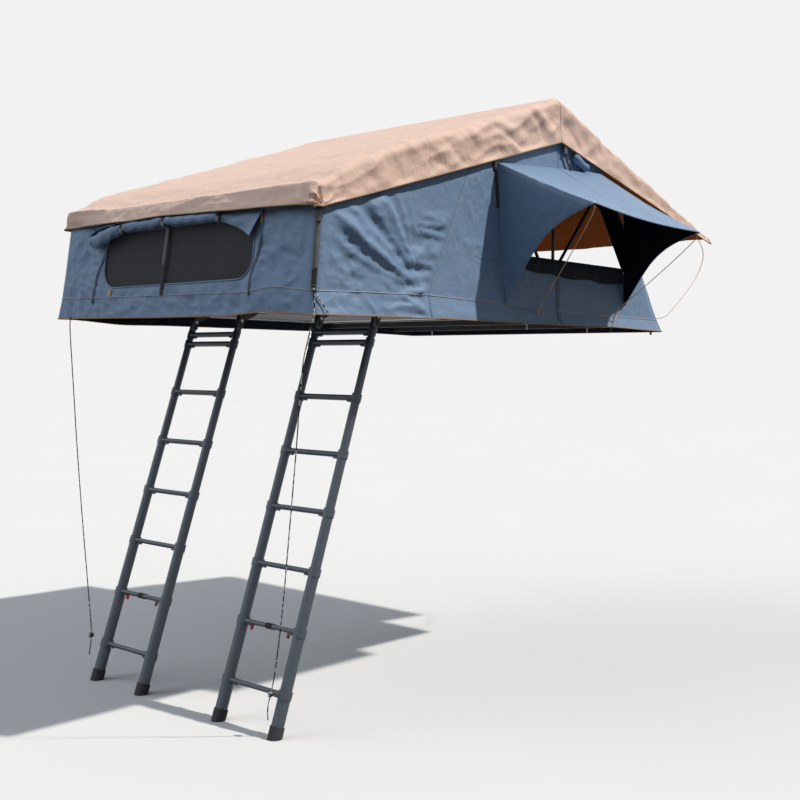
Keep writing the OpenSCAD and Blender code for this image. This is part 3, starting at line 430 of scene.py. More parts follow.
def far_wall_at(z):
    z = np.asarray(z, float)
    return np.where(z < floor_top, far_foot_y + skirt_flare * (floor_top - z) / skirt_drop,
                    between(far_foot_y, 0.0075, (z - floor_top) / 0.8))


def roof_height(y):
    """The inner roof rises from the end bar to the ridge, and falls from there to the rear bar."""
    y = np.asarray(y, float)
    front = between(0.56, ridge_z, (y + 2.545) / 1.945)
    rear = between(ridge_z, far_top_z, (y - fold_line_y) / 0.59)
    return np.where(y < fold_line_y, front, rear) + 0.018


def fly_height(y):
    y = np.asarray(y, float)
    rear = between(fly_ridge_z, 0.665, (y - fold_line_y) / fly_reach)
    return np.where(y < fold_line_y, roof_height(y) + 0.020, rear)


def fly_drop(y):
    """How far the fly's valance hangs below its top."""
    y = np.asarray(y, float)
    front = between(0.27, 0.12, (fold_line_y - y) / 1.978)
    rear = between(0.27, 0.04, (y - fold_line_y) / fly_reach)
    return np.where(y < fold_line_y, front, rear)


def door_edge(z):
    return -1.125 - 0.105 * np.maximum(0, z - floor_top)


hood_front_y = float(door_edge(0.9))


def hood_line(y):
    """Height at which an awning is sewn to the side wall, just under the fly's valance."""
    front_hem = float(fly_height(hood_front_y) - fly_drop(hood_front_y)) - 0.010
    return np.minimum(fly_height(y) - fly_drop(y) - 0.010, front_hem + 0.075 * (y - hood_front_y))


def wall_top(y):
    return roof_height(y) - 0.0032


def seam_at(z):
    """Where the extension is sewn to the main tent, from the floor's end up to the roof."""
    rise = (np.asarray(z, float) - floor_top) / (float(wall_top(seam_top_y)) - floor_top)
    return between(floor_end_y, seam_top_y, limit(rise))


def wall_level(up, top):
    """Height of a wall's row: the lowest fifth of the rows is the skirt."""
    skirt = between(hem_height, floor_top, up / skirt_share)
    return np.where(up < skirt_share, skirt, between(floor_top, top, (up - skirt_share) / (1 - skirt_share)))


def skirt_lift(up, hem, piping):
    """How far a row of a wall rides up: the hem and the piping above it are not level."""
    return np.where(up < skirt_share, between(hem, piping, up / skirt_share),
                    piping * (1 - ease((up - skirt_share) / 0.3)))


def side_lift(up, y):
    hem = np.interp(y, [-2.6, -1.8, -0.6, 0.0, 0.66], [0.002, 0.018, 0.024, 0.032, 0.022])
    piping = np.interp(y, [-2.6, -1.8, -1.1, -0.6, -0.2, 0.6],
                       [-0.010, 0.012, -0.002, -0.018, -0.026, -0.026])
    return skirt_lift(up, hem, piping)


def end_lift(up, x):
    hem = np.interp(x, [-1.12, -0.16, 0.49, 0.755, 0.92, 1.1], [0.030, 0.015, 0.010, 0.024, 0.014, 0.002])
    piping = np.interp(x, [-1.06, -0.06, 0.65, 0.78, 0.89, 1.08],
                       [0.019, 0.007, -0.001, 0.015, 0.013, -0.010])
    return skirt_lift(up, hem, piping)


def mottle(points, scale, seed):
    """Smooth noise at each point of a grid, from about -1 to 1."""
    flat = np.asarray(points, float).reshape(-1, 3)
    shift = np.array((seed, -seed, 0.7 * seed))
    values = [noise.noise(Vector(place)) for place in flat * np.array(scale) + shift]
    return np.array(values).reshape(np.shape(points)[:-1])


def creases(points, scale, seed):
    """Folds with sharp backs: high along each fold and low between, about 0 on the whole."""
    return 0.55 - 2 * np.abs(mottle(points, scale, seed))


def mirrored(grid):
    """The same sheet on the left side, its columns turned round so that its outside stays out."""
    return grid[:, ::-1] * to_left


def grid_normals(grid):
    normals = np.cross(np.gradient(grid, axis=0), np.gradient(grid, axis=1))
    return normals / np.maximum(np.linalg.norm(normals, axis=2), 1e-9)[:, :, None]


def cell_middles(grid):
    return 0.25 * (grid[1:, 1:] + grid[:-1, 1:] + grid[1:, :-1] + grid[:-1, :-1])


def every_cell(grid):
    return np.ones((grid.shape[0] - 1, grid.shape[1] - 1), bool)


def cloth(name, grid, outer, inner, keep=None, thickness=canvas_thick):
    """A closed sheet whose outer face is the grid, of the cells in keep. Rows run from the hem up."""
    rows, columns = grid.shape[:2]
    if keep is None:
        keep = every_cell(grid)
    far = rows * columns
    at = np.arange(far).reshape(rows, columns)
    faces, sides = [], []
    for i, j in zip(*np.nonzero(keep)):
        a, b, c, d = at[i, j], at[i + 1, j], at[i + 1, j + 1], at[i, j + 1]
        faces += [(a, b, c, d), (far + d, far + c, far + b, far + a)]
        sides += [0, 1]
        rims = []
        if i == 0 or not keep[i - 1, j]:
            rims.append((d, a))
        if j == columns - 2 or not keep[i, j + 1]:
            rims.append((c, d))
        if i == rows - 2 or not keep[i + 1, j]:
            rims.append((b, c))
        if j == 0 or not keep[i, j - 1]:
            rims.append((a, b))
        for first, second in rims:
            faces.append((second, first, far + first, far + second))
            sides.append(0)
    inside = grid - thickness * grid_normals(grid)
    points = np.concatenate([grid.reshape(-1, 3), inside.reshape(-1, 3)])
    used = np.unique(np.array(faces))
    renumber = np.full(len(points), -1)
    renumber[used] = np.arange(len(used))
    return shape(name, points[used], renumber[np.array(faces)], [outer, inner], sides)


def cut_size(grid, keep=None, upright=False):
    """What a sheet was cut to: width, length and flat area; an upright one is measured straight across."""
    if keep is None:
        keep = every_cell(grid)
    along = np.linalg.norm(np.diff(grid, axis=1), axis=2)
    up = np.linalg.norm(np.diff(grid, axis=0), axis=2)
    width = float((keep * np.maximum(along[1:], along[:-1])).sum(axis=1).max())
    length = float((keep * np.maximum(up[:, 1:], up[:, :-1])).sum(axis=0).max())
    if upright:
        width, length = float(np.ptp(grid[:, :, 1])), float(np.ptp(grid[:, :, 2]))
    across_cell = grid[1:, 1:] - grid[:-1, :-1]
    other_cell = grid[1:, :-1] - grid[:-1, 1:]
    cells = 0.5 * np.linalg.norm(np.cross(across_cell, other_cell), axis=2)
    area = float(cells[keep].sum())
    width, length = math.ceil(1000 * width) / 1000, math.ceil(1000 * length) / 1000
    return {"flat": (width, length), "area": math.floor(1000 * min(area, width * length)) / 1000}


def under_fly(y, z):
    """Fades a fold out before it meets the fly's valance."""
    return limit((fly_height(y) - fly_drop(y) - 0.005 - z) / 0.06)


def slanting_folds(y, z):
    """Tension folds that fan out from the floor's end up to the shoulder, wider the further they run."""
    reach_y, reach_z = floor_end_y - y, z - 0.085
    reach = np.hypot(reach_y, reach_z)
    angle = np.arctan2(reach_z, np.maximum(reach_y, 1e-4))
    wander = 0.035 * np.sin(6 * y + 4 * z) + 0.012 * np.sin(15 * reach)
    broad = (0.5 + 0.5 * np.cos(15 * (angle + wander - 0.50))) ** 1.6
    narrow = (0.5 + 0.5 * np.cos(37 * (angle + 0.7 * wander - 0.30))) ** 1.4
    strength = ease((reach - 0.05) / 0.14) * (1 - 0.9 * ease((reach - 0.62) / 0.2))
    strength = strength * ease((angle - 0.10) / 0.20) * (1 - ease((angle - 1.05) / 0.3))
    height = broad * np.minimum(0.045 * reach, 0.026) + narrow * np.minimum(0.020 * reach, 0.012)
    return height * strength * ease((z - 0.09) / 0.06) * under_fly(y, z)


def far_lean(points, reach_x=0.026, reach_z=0.022):
    """The tent's far shoulder at the ladder end leans in and is drawn up: moves points that lie there."""
    x, y, z = points[..., 0], points[..., 1], points[..., 2]
    share = ease((-x - 0.3) / 0.8) * ease((-1.95 - y) / 0.5) * limit((z - 0.08) / 0.45)
    return points + spots(reach_x * share, 0, reach_z * share)


side_count = 80
bend_turns = np.radians([15, 30, 45, 60, 75])
end_count = 149
end_columns = slice(side_count + len(bend_turns), side_count + len(bend_turns) + end_count)
bend_middles = (side_count + 2, end_columns.stop + 2)


def extension_grid():
    """Rows from the hem up; columns from the right seam round the end wall to the left seam."""
    shares = np.linspace(0, 1, side_count)
    spread = np.linspace(1, -1, end_count)
    top_y = between(seam_top_y, float(end_wall_at(end_top_z)) + wall_corner, shares)
    top_z = between(wall_top(top_y), end_top_z, shares ** 8)
    rows = []
    for up in np.linspace(0, 1, 81):
        z = wall_level(up, top_z)
        foot_y = between(floor_end_y, end_wall_at(np.minimum(z, floor_top)) + wall_corner, shares)
        y = between(foot_y, top_y, limit((z - floor_top) / (top_z - floor_top)))
        right = spots(side_wall_x(z) + slanting_folds(y, z), y, z + side_lift(up, y))
        end_z = float(wall_level(up, end_top_z))
        wall = float(side_wall_x(end_z)) - wall_corner
        end = float(end_wall_at(end_z))
        bend = spots(wall + wall_corner * np.cos(bend_turns),
                     end + wall_corner - wall_corner * np.sin(bend_turns), end_z + side_lift(up, -2.6))
        flat = spots(spread * wall, end, end_z + end_lift(up, spread * wall))
        left_bend = bend[::-1] * to_left
        left_bend[:, 2] = flat[-1, 2]
        left = right[::-1] * to_left
        ride_up = flat[-1, 2] - left[0, 2]
        left[:, 2] += ride_up * ease((-2.1 - left[:, 1]) / 0.45)
        rows.append(np.concatenate([right, bend, flat, left_bend, left]))
    return np.array(rows)


class Window:
    """A rounded opening in a wall: half its width and height, the height of its middle, and its corners."""

    def __init__(self, half, middle, rise, corner, wall_at):
        self.half, self.middle, self.rise, self.corner, self.wall_at = half, middle, rise, corner, wall_at

    def distance(self, x, z):
        """Distance outside the outline, negative inside it."""
        reach_x = np.abs(x) - (self.half - self.corner)
        reach_z = np.abs(z - self.middle) - (self.rise - self.corner)
        outside = np.hypot(np.maximum(reach_x, 0), np.maximum(reach_z, 0))
        return outside + np.minimum(np.maximum(reach_x, reach_z), 0) - self.corner

    def draw_in(self, grid, columns, reach):
        """Moves the grid points nearest the outline onto it, so that the cut edge is smooth."""
        step = 1e-4
        for row in range(1, grid.shape[0] - 1):
            x, z = grid[row, columns, 0], grid[row, columns, 2]
            gap = self.distance(x, z)
            slope_x = (self.distance(x + step, z) - self.distance(x - step, z)) / (2 * step)
            slope_z = (self.distance(x, z + step) - self.distance(x, z - step)) / (2 * step)
            near = np.abs(gap) < reach
            grid[row, columns, 0] -= np.where(near, gap * slope_x, 0)
            grid[row, columns, 2] -= np.where(near, gap * slope_z, 0)

    def hem(self, out):
        """A rolled hem round the opening, standing off the wall by out."""
        line = []
        for quarter, (side_x, side_z) in enumerate([(1, 1), (-1, 1), (-1, -1), (1, -1)]):
            for turn in np.linspace(0, math.pi / 2, 9) + quarter * math.pi / 2:
                x = side_x * (self.half - self.corner) + self.corner * math.cos(turn)
                z = self.middle + side_z * (self.rise - self.corner) + self.corner * math.sin(turn)
                line.append((x, float(self.wall_at(z)) + out, z))
        return tube_mesh(line + line[:1], window_hem_radius, 6)


def goes_with_extension(piece):
    """Cloth of the extension: it rides on the extension's bow."""
    return goes_with(piece, "extension_bow")


def goes_with_floor(piece, body):
    """Cloth of the main tent: it rides on the body of its floor half."""
    return goes_with(piece, body)


def trim_wall(trim, grid, normals, piping_row, piping_off, binding_off):
    """Sews grey piping along one row of a wall and tan binding along its hem."""
    piping = grid[piping_row] + piping_off * normals[piping_row]
    trim.add(tube_mesh(piping, piping_radius, 6), grey_piping)
    trim.add(tube_mesh(grid[0] + binding_off * normals[0], binding_radius, 6), tan_binding)


end_window = Window(0.65, 0.302, 0.156, 0.115, end_wall_at)
extension = extension_grid()
wall_x, wall_y, wall_z = extension[:, :, 0], extension[:, :, 1], extension[:, :, 2]
by_window = np.where(wall_y < end_zone_y, end_window.distance(wall_x, wall_z), 1.0)
soften = ease((by_window - 0.004) / 0.05) * ease((wall_z - hem_height) / 0.05) * ease((0.56 - wall_z) / 0.1)
in_the_side = np.abs(wall_x) > 1.08
to_the_seam = np.exp(-((wall_y - seam_at(wall_z) + 0.10) / 0.16) ** 2) * in_the_side
slanted = spots(wall_x, wall_y, wall_z + 0.3 * wall_x)
crumple = 0.0080 * mottle(extension, (4, 4, 6), 3.0) + 0.0075 * creases(extension, (8, 8, 9), 8.0)
crumple = crumple + 0.0042 * creases(slanted, (15, 15, 19), 12.0)
crumple = crumple + 0.0200 * to_the_seam * creases(extension, (2, 4, 20), 15.0)
crumple[:, end_columns] += 0.007 * mottle(extension[:, end_columns], (2.1, 1, 3.4), 5.0)
column = np.arange(extension.shape[1])
from_bend = np.min([np.abs(column - middle) for middle in bend_middles], axis=0)
from_seam = np.minimum(column, column[::-1])
soften = soften * ease((from_bend - 3) / 6)[None, :] * ease(from_seam / 6)[None, :]
out_of_wall = grid_normals(extension)
extension = far_lean(extension + out_of_wall * (crumple * soften)[:, :, None])
end_window.draw_in(extension, end_columns, 0.0075)
middles = cell_middles(extension)
in_window = end_window.distance(middles[:, :, 0], middles[:, :, 2]) < 0
extension_keep = ~(in_window & (middles[:, :, 1] < end_zone_y))
extension_wall = cloth("canopy_extension_wall", extension, canvas, canvas_inside, extension_keep)
extension_trim = Sewn()
trim_wall(extension_trim, extension, out_of_wall, 16, 0.0012, 0.0008)
extension_trim.add(end_window.hem(-0.0015), canvas)
extension_piping = goes_with_extension(extension_trim.make("canopy_extension_piping"))
goes_with_extension(extension_wall)
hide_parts("canopy_extension")
cut_size(extension, extension_keep)

front_walls = []
front_sides = {}
front_trim = Sewn()
for side, sign in both_sides:
    rows = []
    shares = np.linspace(0, 1, 57)
    for up in np.linspace(0, 1, 81):
        z = wall_level(up, wall_top(between(-1.231, seam_top_y, shares)))
        front_y = between(fold_line_y - seam_gap, door_edge(z), limit((z - sill_z) / sill_rise))
        y = between(front_y, seam_at(z) + 0.0006, shares)
        rows.append(spots(side_wall_x(z), y, z + side_lift(up, y)))
    grid = np.array(rows)
    fade = ease((grid[:, :, 2] - hem_height) / 0.05) * under_fly(grid[:, :, 1], grid[:, :, 2])
    fade = fade * (np.sin(math.pi * shares) ** 0.6)[None, :]
    drape = 0.0080 * mottle(grid, (1, 4, 2.4), 11.0 + sign) + 0.0060 * creases(grid, (1, 9, 5), 4.0 - sign)
    drape = drape + 0.0032 * creases(grid, (1, 19, 17), 19.0) + 0.0045
    grid[:, :, 0] += np.maximum(fade * drape, -0.0004)
    rows = []
    shares = np.linspace(0, 1, 41)
    for rise in np.linspace(0, 1, 17):
        y = between(fold_line_y - seam_gap, -1.214, shares)
        z = between(hood_line(y) - gable_tuck, wall_top(y), rise)
        y = between(fold_line_y - seam_gap, door_edge(z) + 0.0008, shares)
        rows.append(spots(side_wall_x(z), y, z))
    gable = np.array(rows)
    if side == "left":
        grid, gable = mirrored(grid), mirrored(gable)
    trim_wall(front_trim, grid, grid_normals(grid), 16, 0.001, 0.001)
    front_sides[side] = cloth("canopy_front_wall_" + side, grid, canvas, canvas_inside)
    front_walls.append((front_sides[side], grid))
    front_walls.append((cloth("canopy_gable_front_" + side, gable, canvas, canvas_inside), gable))
front_piping = goes_with_floor(front_trim.make("canopy_front_piping"), "fold_floor")
for wall_piece, grid in front_walls:
    goes_with_floor(wall_piece, "fold_floor")
    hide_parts("canopy_front")
    cut_size(grid, upright=True)

rear_window = Window(0.95, 0.570, 0.230, 0.060, far_wall_at)
rear_side_count = 36
rear_end_count = 121
rear_side_start = rear_side_count + 2 * len(bend_turns) + rear_end_count
rear_end = slice(rear_side_count + len(bend_turns), rear_side_count + len(bend_turns) + rear_end_count)
sill_row = 28
rows = []
for up in np.linspace(0, 1, 61):
    z = float(wall_level(up, far_top_z))
    far = float(far_wall_at(z))
    wall = float(side_wall_x(z))
    opening = between(fold_line_y + seam_gap, min(0.15, far - 0.06), float(limit((z - sill_z) / sill_rise)))
    side_y = np.linspace(opening, far - wall_corner, rear_side_count)
    left = spots(-wall, side_y, z + side_lift(up, side_y))
    back_z = z + float(side_lift(up, 0.6))
    bend = spots(-(wall - wall_corner + wall_corner * np.sin(bend_turns[::-1])),
                 far - wall_corner + wall_corner * np.cos(bend_turns[::-1]), back_z)
    flat = spots(np.linspace(-1, 1, rear_end_count) * (wall - wall_corner), far, back_z)
    rows.append(np.concatenate([left, bend, flat, bend[::-1] * to_left, left[::-1] * to_left]))
rear = np.array(rows)
out_of_rear = grid_normals(rear)
fade = ease((rear[:, :, 2] - 0.10) / 0.1) * ease((0.87 - rear[:, :, 2]) / 0.1)
drape = 0.005 * mottle(rear, (3.2, 2, 3), 21.0) + 0.0025 * creases(rear, (9, 8, 9), 9.0)
rear += out_of_rear * np.maximum(fade * drape, -0.002)[:, :, None]
rear_window.draw_in(rear, rear_end, 0.009)
middles = cell_middles(rear)
rear_keep = rear_window.distance(middles[:, :, 0], middles[:, :, 2]) >= 0
rear_keep[:sill_row, :rear_side_count - 1] = False
rear_keep[:sill_row, rear_side_start:] = False
rear_wall = cloth("canopy_rear_wall", rear, canvas, canvas_inside, rear_keep)
rear_walls = [(rear_wall, rear, rear_keep)]
rear_sides = {}
for side, columns in (("left", slice(0, rear_side_count)), ("right", slice(rear_side_start, None))):
    grid = rear[:sill_row + 1, columns]
    rear_sides[side] = cloth("canopy_rear_side_" + side, grid, canvas, canvas_inside)
    rear_walls.append((rear_sides[side], grid, None))
for side, _ in both_sides:
    rows = []
    for rise in np.linspace(0, 1, 13):
        y = np.linspace(-0.0535, fold_line_y + seam_gap, 33)
        z = between(hood_line(y) - gable_tuck, roof_height(y) - 0.0036, rise)
        rows.append(spots(side_wall_x(z), y, z))
    gable = np.array(rows) if side == "right" else mirrored(np.array(rows))
    rear_walls.append((cloth("canopy_gable_rear_" + side, gable, canvas, canvas_inside), gable, None))
rear_trim = Sewn()
trim_wall(rear_trim, rear, out_of_rear, 12, 0.001, 0.0008)
rear_trim.add(rear_window.hem(0.001), canvas)
rear_piping = goes_with_floor(rear_trim.make("canopy_rear_piping"), "base")
for wall_piece, grid, keep in rear_walls:
    goes_with_floor(wall_piece, "base")
    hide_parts("canopy_rear")
    cut_size(grid, keep, wall_piece is not rear_wall)

# Inner roof: rust orange cotton in three sheets, sewn along the walls' tops and lying on the bows' bars.
# It is what shows through the door under the fly.
rust_cotton = Finish("rust_cotton", Roughness=0.9, Specular_IOR_Level=0.02)
rust_cotton.dye(rust_cotton.clouds(7.0, 4.0), (216, 102, 36), (234, 124, 50))
rust_cotton.grain(rust_cotton.threads(240.0, "X"), 0.2, 0.001)


def inner_roof(part, low, high, count):
    """One sheet of the roof, sagging a little between its middle and its edges: the piece and its grid."""
    spread = np.linspace(1, -1, 61)
    sink = 0.0012 * np.sin(math.pi * np.abs(spread))
    rows = []
    for y in np.linspace(low, high, count):
        height = float(roof_height(y))
        rows.append(spots(spread * (float(side_wall_x(height)) - 0.001), y, height - sink))
    grid = np.array(rows)
    return cloth("inner_roof_" + part, grid, rust_cotton, rust_cotton), grid


for part, body, low, high, count in (("extension", "extension_bow", -2.5606, -1.8003, 20),
                                     ("front", "fold_floor", -1.7997, -0.6015, 30),
                                     ("rear", "base", -0.5985, 0.0075, 18)):
    roof_sheet, grid = inner_roof(part, low, high, count)
    if part == "extension":
        goes_with_extension(roof_sheet)
    else:
        goes_with_floor(roof_sheet, body)
    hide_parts("canopy_" + part)
    part + "_bow"
    cut_size(grid)

# End window: black insect mesh sewn behind the opening, with the canvas cover rolled up above it.
# Three ties of narrow webbing hold the roll. It droops in a bundle at one end and flares at the other.
mesh_low, mesh_high = 0.116, 0.478
tie_places = (-0.444, -0.062, 0.393)
cover_flat = 0.034
mesh_finish = Finish("insect_mesh", Roughness=0.75, Specular_IOR_Level=0.25)
mesh_finish.dye(mesh_finish.clouds(3.0), (28, 30, 36), (46, 49, 56))
mesh_finish.grain(mesh_finish.threads(330.0, "X") * mesh_finish.threads(330.0, "Z"), 0.4, 0.001)
webbing = Finish("black_webbing", Roughness=0.7, Specular_IOR_Level=0.3)
webbing.dye(webbing.threads(120.0, "Z"), (22, 23, 26), (42, 43, 47))
webbing.grain(webbing.threads(300.0, "Z"), 0.5, 0.001)
buckle_plastic = clouded("buckle_plastic", 80.0, (64, 66, 70), (88, 90, 94), gloss=(0.38, 0.2, 120.0),
                         Roughness=0.45)

rows = []
for z in np.linspace(mesh_low, mesh_high, 19):
    spread = np.linspace(1, -1, 61) * (end_window.half + 0.030)
    rise = (z - mesh_low) / (mesh_high - mesh_low)
    billow = 0.006 * np.sin(math.pi * rise) * np.cos(0.5 * math.pi * spread / 0.68)
    rows.append(spots(spread, float(end_wall_at(z)) + 0.0035 + billow, z))
window_sheet = np.array(rows)
window_mesh = cloth("window_mesh_sheet", window_sheet, mesh_finish, mesh_finish, thickness=0.0008)
goes_with_extension(window_mesh)
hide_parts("window_mesh")
cut_size(window_sheet)

cover_x = np.linspace(-0.752, 0.402, 116)
cover_z = np.interp(cover_x, [-0.752, -0.70, -0.60, -0.52, -0.444, -0.25, -0.062, 0.16, 0.393, 0.402],
                    [0.418, 0.424, 0.446, 0.464, 0.480, 0.480, 0.489, 0.478, 0.477, 0.477])
cover_radius = np.interp(cover_x, [-0.752, -0.745, -0.72, -0.66, -0.56, -0.46, -0.30, 0.0, 0.3, 0.402],
                         [0.020, 0.036, 0.050, 0.056, 0.047, 0.034, 0.033, 0.030, 0.030, 0.024])
for tie in tie_places:
    cover_radius = cover_radius * (1 - 0.24 * np.exp(-((cover_x - tie) / 0.016) ** 2))
cover_y = end_wall_at(cover_z) - np.minimum(cover_radius, cover_flat) - 0.007
flatten = np.minimum(1.0, cover_flat / np.maximum(cover_radius, cover_flat))
rows = []
for turn in np.linspace(0.35, 1, 70):
    angle = 2 * math.pi * 3.2 * turn + 0.9
    wrinkle = 1 + 0.07 * np.sin(26 * cover_x + 3 * turn + 2 * math.sin(angle))
    wrinkle = wrinkle + 0.06 * np.sin(61 * cover_x + 7 * turn + 3 * math.cos(angle))
    reach = np.minimum(cover_radius * turn * wrinkle, 1.04 * cover_radius)
    out, lift = flatten * reach * math.cos(angle), reach * math.sin(angle)
    rows.append(spots(cover_x, cover_y + out, cover_z + lift))
cover_grid = np.array(rows)[:, ::-1]
window_cover = cloth("window_cover", cover_grid, canvas, canvas, thickness=0.0010)
goes_with_extension(window_cover)
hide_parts("window_cover_roll")
rows = []
shares = np.linspace(0, 1, 33)
for down in np.linspace(0, 1, 25):
    flap_x = between(0.392, between(0.712, 0.652, down ** 1.5), shares)
    flap_z = between(between(0.500, 0.497, shares), between(0.447, 0.356, shares ** 1.3), down)
    belly = 0.020 * np.sin(math.pi * min(1.0, down * 0.9)) * (1 - 0.5 * shares)
    off = 0.010 + belly + 0.026 * shares ** 3 * down
    ripple = 0.005 * np.sin(9 * shares + 5 * down) * shares * (1 - shares) * 4
    rows.append(spots(flap_x, end_wall_at(flap_z) - off - ripple, flap_z))
flap_grid = np.array(rows)[::-1, ::-1]
cover_flap = cloth("window_cover_flap", flap_grid, canvas, canvas_inside, thickness=0.0012)
goes_with_extension(cover_flap)


def strap_mesh(path, across, width, thickness):
    """A flat strap along a path: across is the direction of its width."""
    path = np.asarray(path, float)
    across = np.asarray(across, float)
    ways = np.gradient(path, axis=0)
    points = []
    for place, way in zip(path, ways):
        side = across - way * np.dot(across, way) / max(np.dot(way, way), 1e-12)
        side /= np.linalg.norm(side)
        lift = np.cross(way, side)
        lift /= np.linalg.norm(lift)
        for s, t in ((-1, -1), (-0.9, 1), (0.9, 1), (1, -1)):
            points.append(place + side * s * width / 2 + lift * t * thickness / 2)
    last = 4 * (len(path) - 1)
    faces = [(at + s, at + (s + 1) % 4, at + 4 + (s + 1) % 4, at + 4 + s)
             for at in range(0, last, 4) for s in range(4)]
    faces += [(3, 2, 1, 0), tuple(last + s for s in range(4))]
    return points, faces


def block_mesh(middle, size, edge, turn=0.0):
    """A block with bevelled edges, turned about the upright by an angle in degrees."""
    part = bmesh.new()
    bmesh.ops.create_cube(part, size=1.0)
    bmesh.ops.scale(part, vec=size, verts=part.verts)
    bmesh.ops.bevel(part, geom=part.edges[:], offset=edge, segments=2, affect="EDGES", profile=0.6)
    about_z = Matrix.Rotation(math.radians(turn), 3, "Z")
    bmesh.ops.rotate(part, cent=(0, 0, 0), matrix=about_z, verts=part.verts)
    bmesh.ops.translate(part, vec=middle, verts=part.verts)
    part.verts.index_update()
    points = [tuple(v.co) for v in part.verts]
    faces = [tuple(v.index for v in face.verts) for face in part.faces]
    part.free()
    return points, faces


cover_ties = Sewn()
for tie in tie_places:
    middle = int(np.argmin(np.abs(cover_x - tie)))
    tie_x, tie_y, tie_z = cover_x[middle], cover_y[middle], cover_z[middle]
    angles = np.linspace(0, 2 * math.pi, 25)
    reach = 1.06 * cover_radius[middle]
    ring = spots(tie_x, tie_y + reach * np.cos(angles), tie_z + reach * np.sin(angles))
    cover_ties.add(strap_mesh(ring, (1, 0, 0), 0.020, 0.0016), webbing)
    clasp = (tie_x, tie_y - 0.72 * reach - 0.006, tie_z - 0.75 * reach)
    cover_ties.add(block_mesh(clasp, (0.027, 0.008, 0.024), 0.002), buckle_plastic)
    tail = [(tie_x + 0.004 * k, clasp[1] - 0.002 + 0.002 * k, clasp[2] - 0.010 * k) for k in range(4)]
    cover_ties.add(strap_mesh(tail, (1, 0, 0), 0.014, 0.0012), webbing)
cover_tie_set = goes_with_extension(cover_ties.make("window_cover_ties"))
cut_size(cover_grid)

# Straps and zips of the extension: webbing down the ladder end corners, with side release buckles at the top
# that pull the fly's corners down, a strap down over the window and a zip down each side of it.
ring_reach = 0.014
strap_angles = {1: 45, -1: 0}
strap_backs = {1: (0, 0, 0), -1: (0, 0.034, 0)}
buckle_parts = ((0.436, (0.012, 0.038, 0.046)), (0.408, (0.011, 0.027, 0.022)))
zip_bends = ([(-0.650, 0.385), (-0.672, 0.318), (-0.709, 0.229), (-0.735, 0.130), (-0.743, 0.076)],
             [(0.700, 0.440), (0.707, 0.351), (0.680, 0.239), (0.654, 0.165), (0.650, 0.074)])
zip_pulls = ((-0.567, 0.119, (0.016, 0.004, 0.042)), (0.703, 0.446, (0.012, 0.004, 0.050)))
grey_webbing = Finish("grey_webbing", Roughness=0.7, Specular_IOR_Level=0.3)
grey_webbing.dye(grey_webbing.threads(90.0, "Z"), (88, 91, 95), (120, 122, 125))
grey_webbing.grain(grey_webbing.threads(300.0, "Z"), 0.5, 0.001)
yellow_pull = clouded("yellow_pull", 90.0, (196, 158, 62), (222, 186, 92), Roughness=0.5)
zip_teeth = Finish("zip_teeth", Roughness=0.5)
zip_teeth.dye(zip_teeth.threads(420.0, "Z"), (20, 22, 26), (44, 48, 56))
zip_teeth.grain(zip_teeth.threads(420.0, "Z"), 0.6, 0.001)


def end_surface(x, z):
    """Where the sewn end wall lies, at a place across it."""
    flat = extension[:, end_columns].reshape(-1, 3)
    return float(flat[np.argmin((flat[:, 0] - x) ** 2 + (flat[:, 2] - z) ** 2), 1])


def on_corner(z, sign, off):
    """A point a little off the extension's corner, where its strap lies."""
    turn = math.radians(strap_angles[sign])
    reach = wall_corner + off
    spot = np.array((float(side_wall_x(z)) - wall_corner + reach * math.cos(turn),
                     float(end_wall_at(z)) + wall_corner - reach * math.sin(turn), z))
    return spot * np.array((sign, 1, 1)) + np.array(strap_backs[sign])


straps = Sewn()
for sign in (1, -1):
    turn = math.radians(strap_angles[sign])
    along = np.array((sign * math.sin(turn), math.cos(turn), 0))
    path = np.array([on_corner(z, sign, 0.0040) for z in np.linspace(0.084, 0.463, 26)])
    straps.add(strap_mesh(far_lean(path), along, 0.026, 0.0022), webbing)
    path = np.array([on_corner(z, sign, 0.0068 + 0.002 * math.sin(30 * z))
                     for z in np.linspace(0.168, 0.405, 18)])
    straps.add(strap_mesh(far_lean(path), along, 0.025, 0.0022), grey_webbing)
    for z, size in buckle_parts:
        spot = far_lean(on_corner(z, sign, 0.0105))
        straps.add(block_mesh(spot, size, 0.003, -strap_angles[sign] * sign), buckle_plastic)
    ring_middle = on_corner(floor_top, sign, 0.0062)
    ring = np.array([ring_middle + ring_reach * math.cos(t) * along + (0, 0, ring_reach * math.sin(t))
                     for t in np.linspace(0, 2 * math.pi, 25)])
    straps.add(tube_mesh(ring, 0.0022, 8), buckle_plastic)
heights = np.linspace(0.470, 0.250, 14)
path = spots(np.interp(heights, [0.256, 0.476], [-0.080, -0.064]), end_wall_at(heights) - 0.011, heights)
straps.add(strap_mesh(path, (1, 0, 0), 0.027, 0.0018), grey_webbing)
heights = np.linspace(0.268, 0.088, 12)
path = spots(np.interp(heights, [0.086, 0.256], [-0.084, -0.080]), end_wall_at(heights) - 0.0085, heights)
straps.add(strap_mesh(path, (1, 0, 0), 0.026, 0.0018), webbing)
for bends in zip_bends:
    line = smooth_path([(x, 0, z) for x, z in bends], 6)
    path = np.array([(x, end_surface(x, z) - 0.0035, z) for x, _, z in line])
    path[1:-1, 1] = np.minimum(path[1:-1, 1], 0.5 * (path[2:, 1] + path[:-2, 1]))
    straps.add(strap_mesh(path, (1, 0, 0), 0.020, 0.0012), canvas)
    straps.add(strap_mesh(path - np.array((0, 0.0012, 0)), (1, 0, 0), 0.0075, 0.0018), zip_teeth)
    slider = path[-1] - np.array((0, 0.004, 0.004))
    straps.add(block_mesh(slider, (0.011, 0.005, 0.020), 0.0018), buckle_plastic)
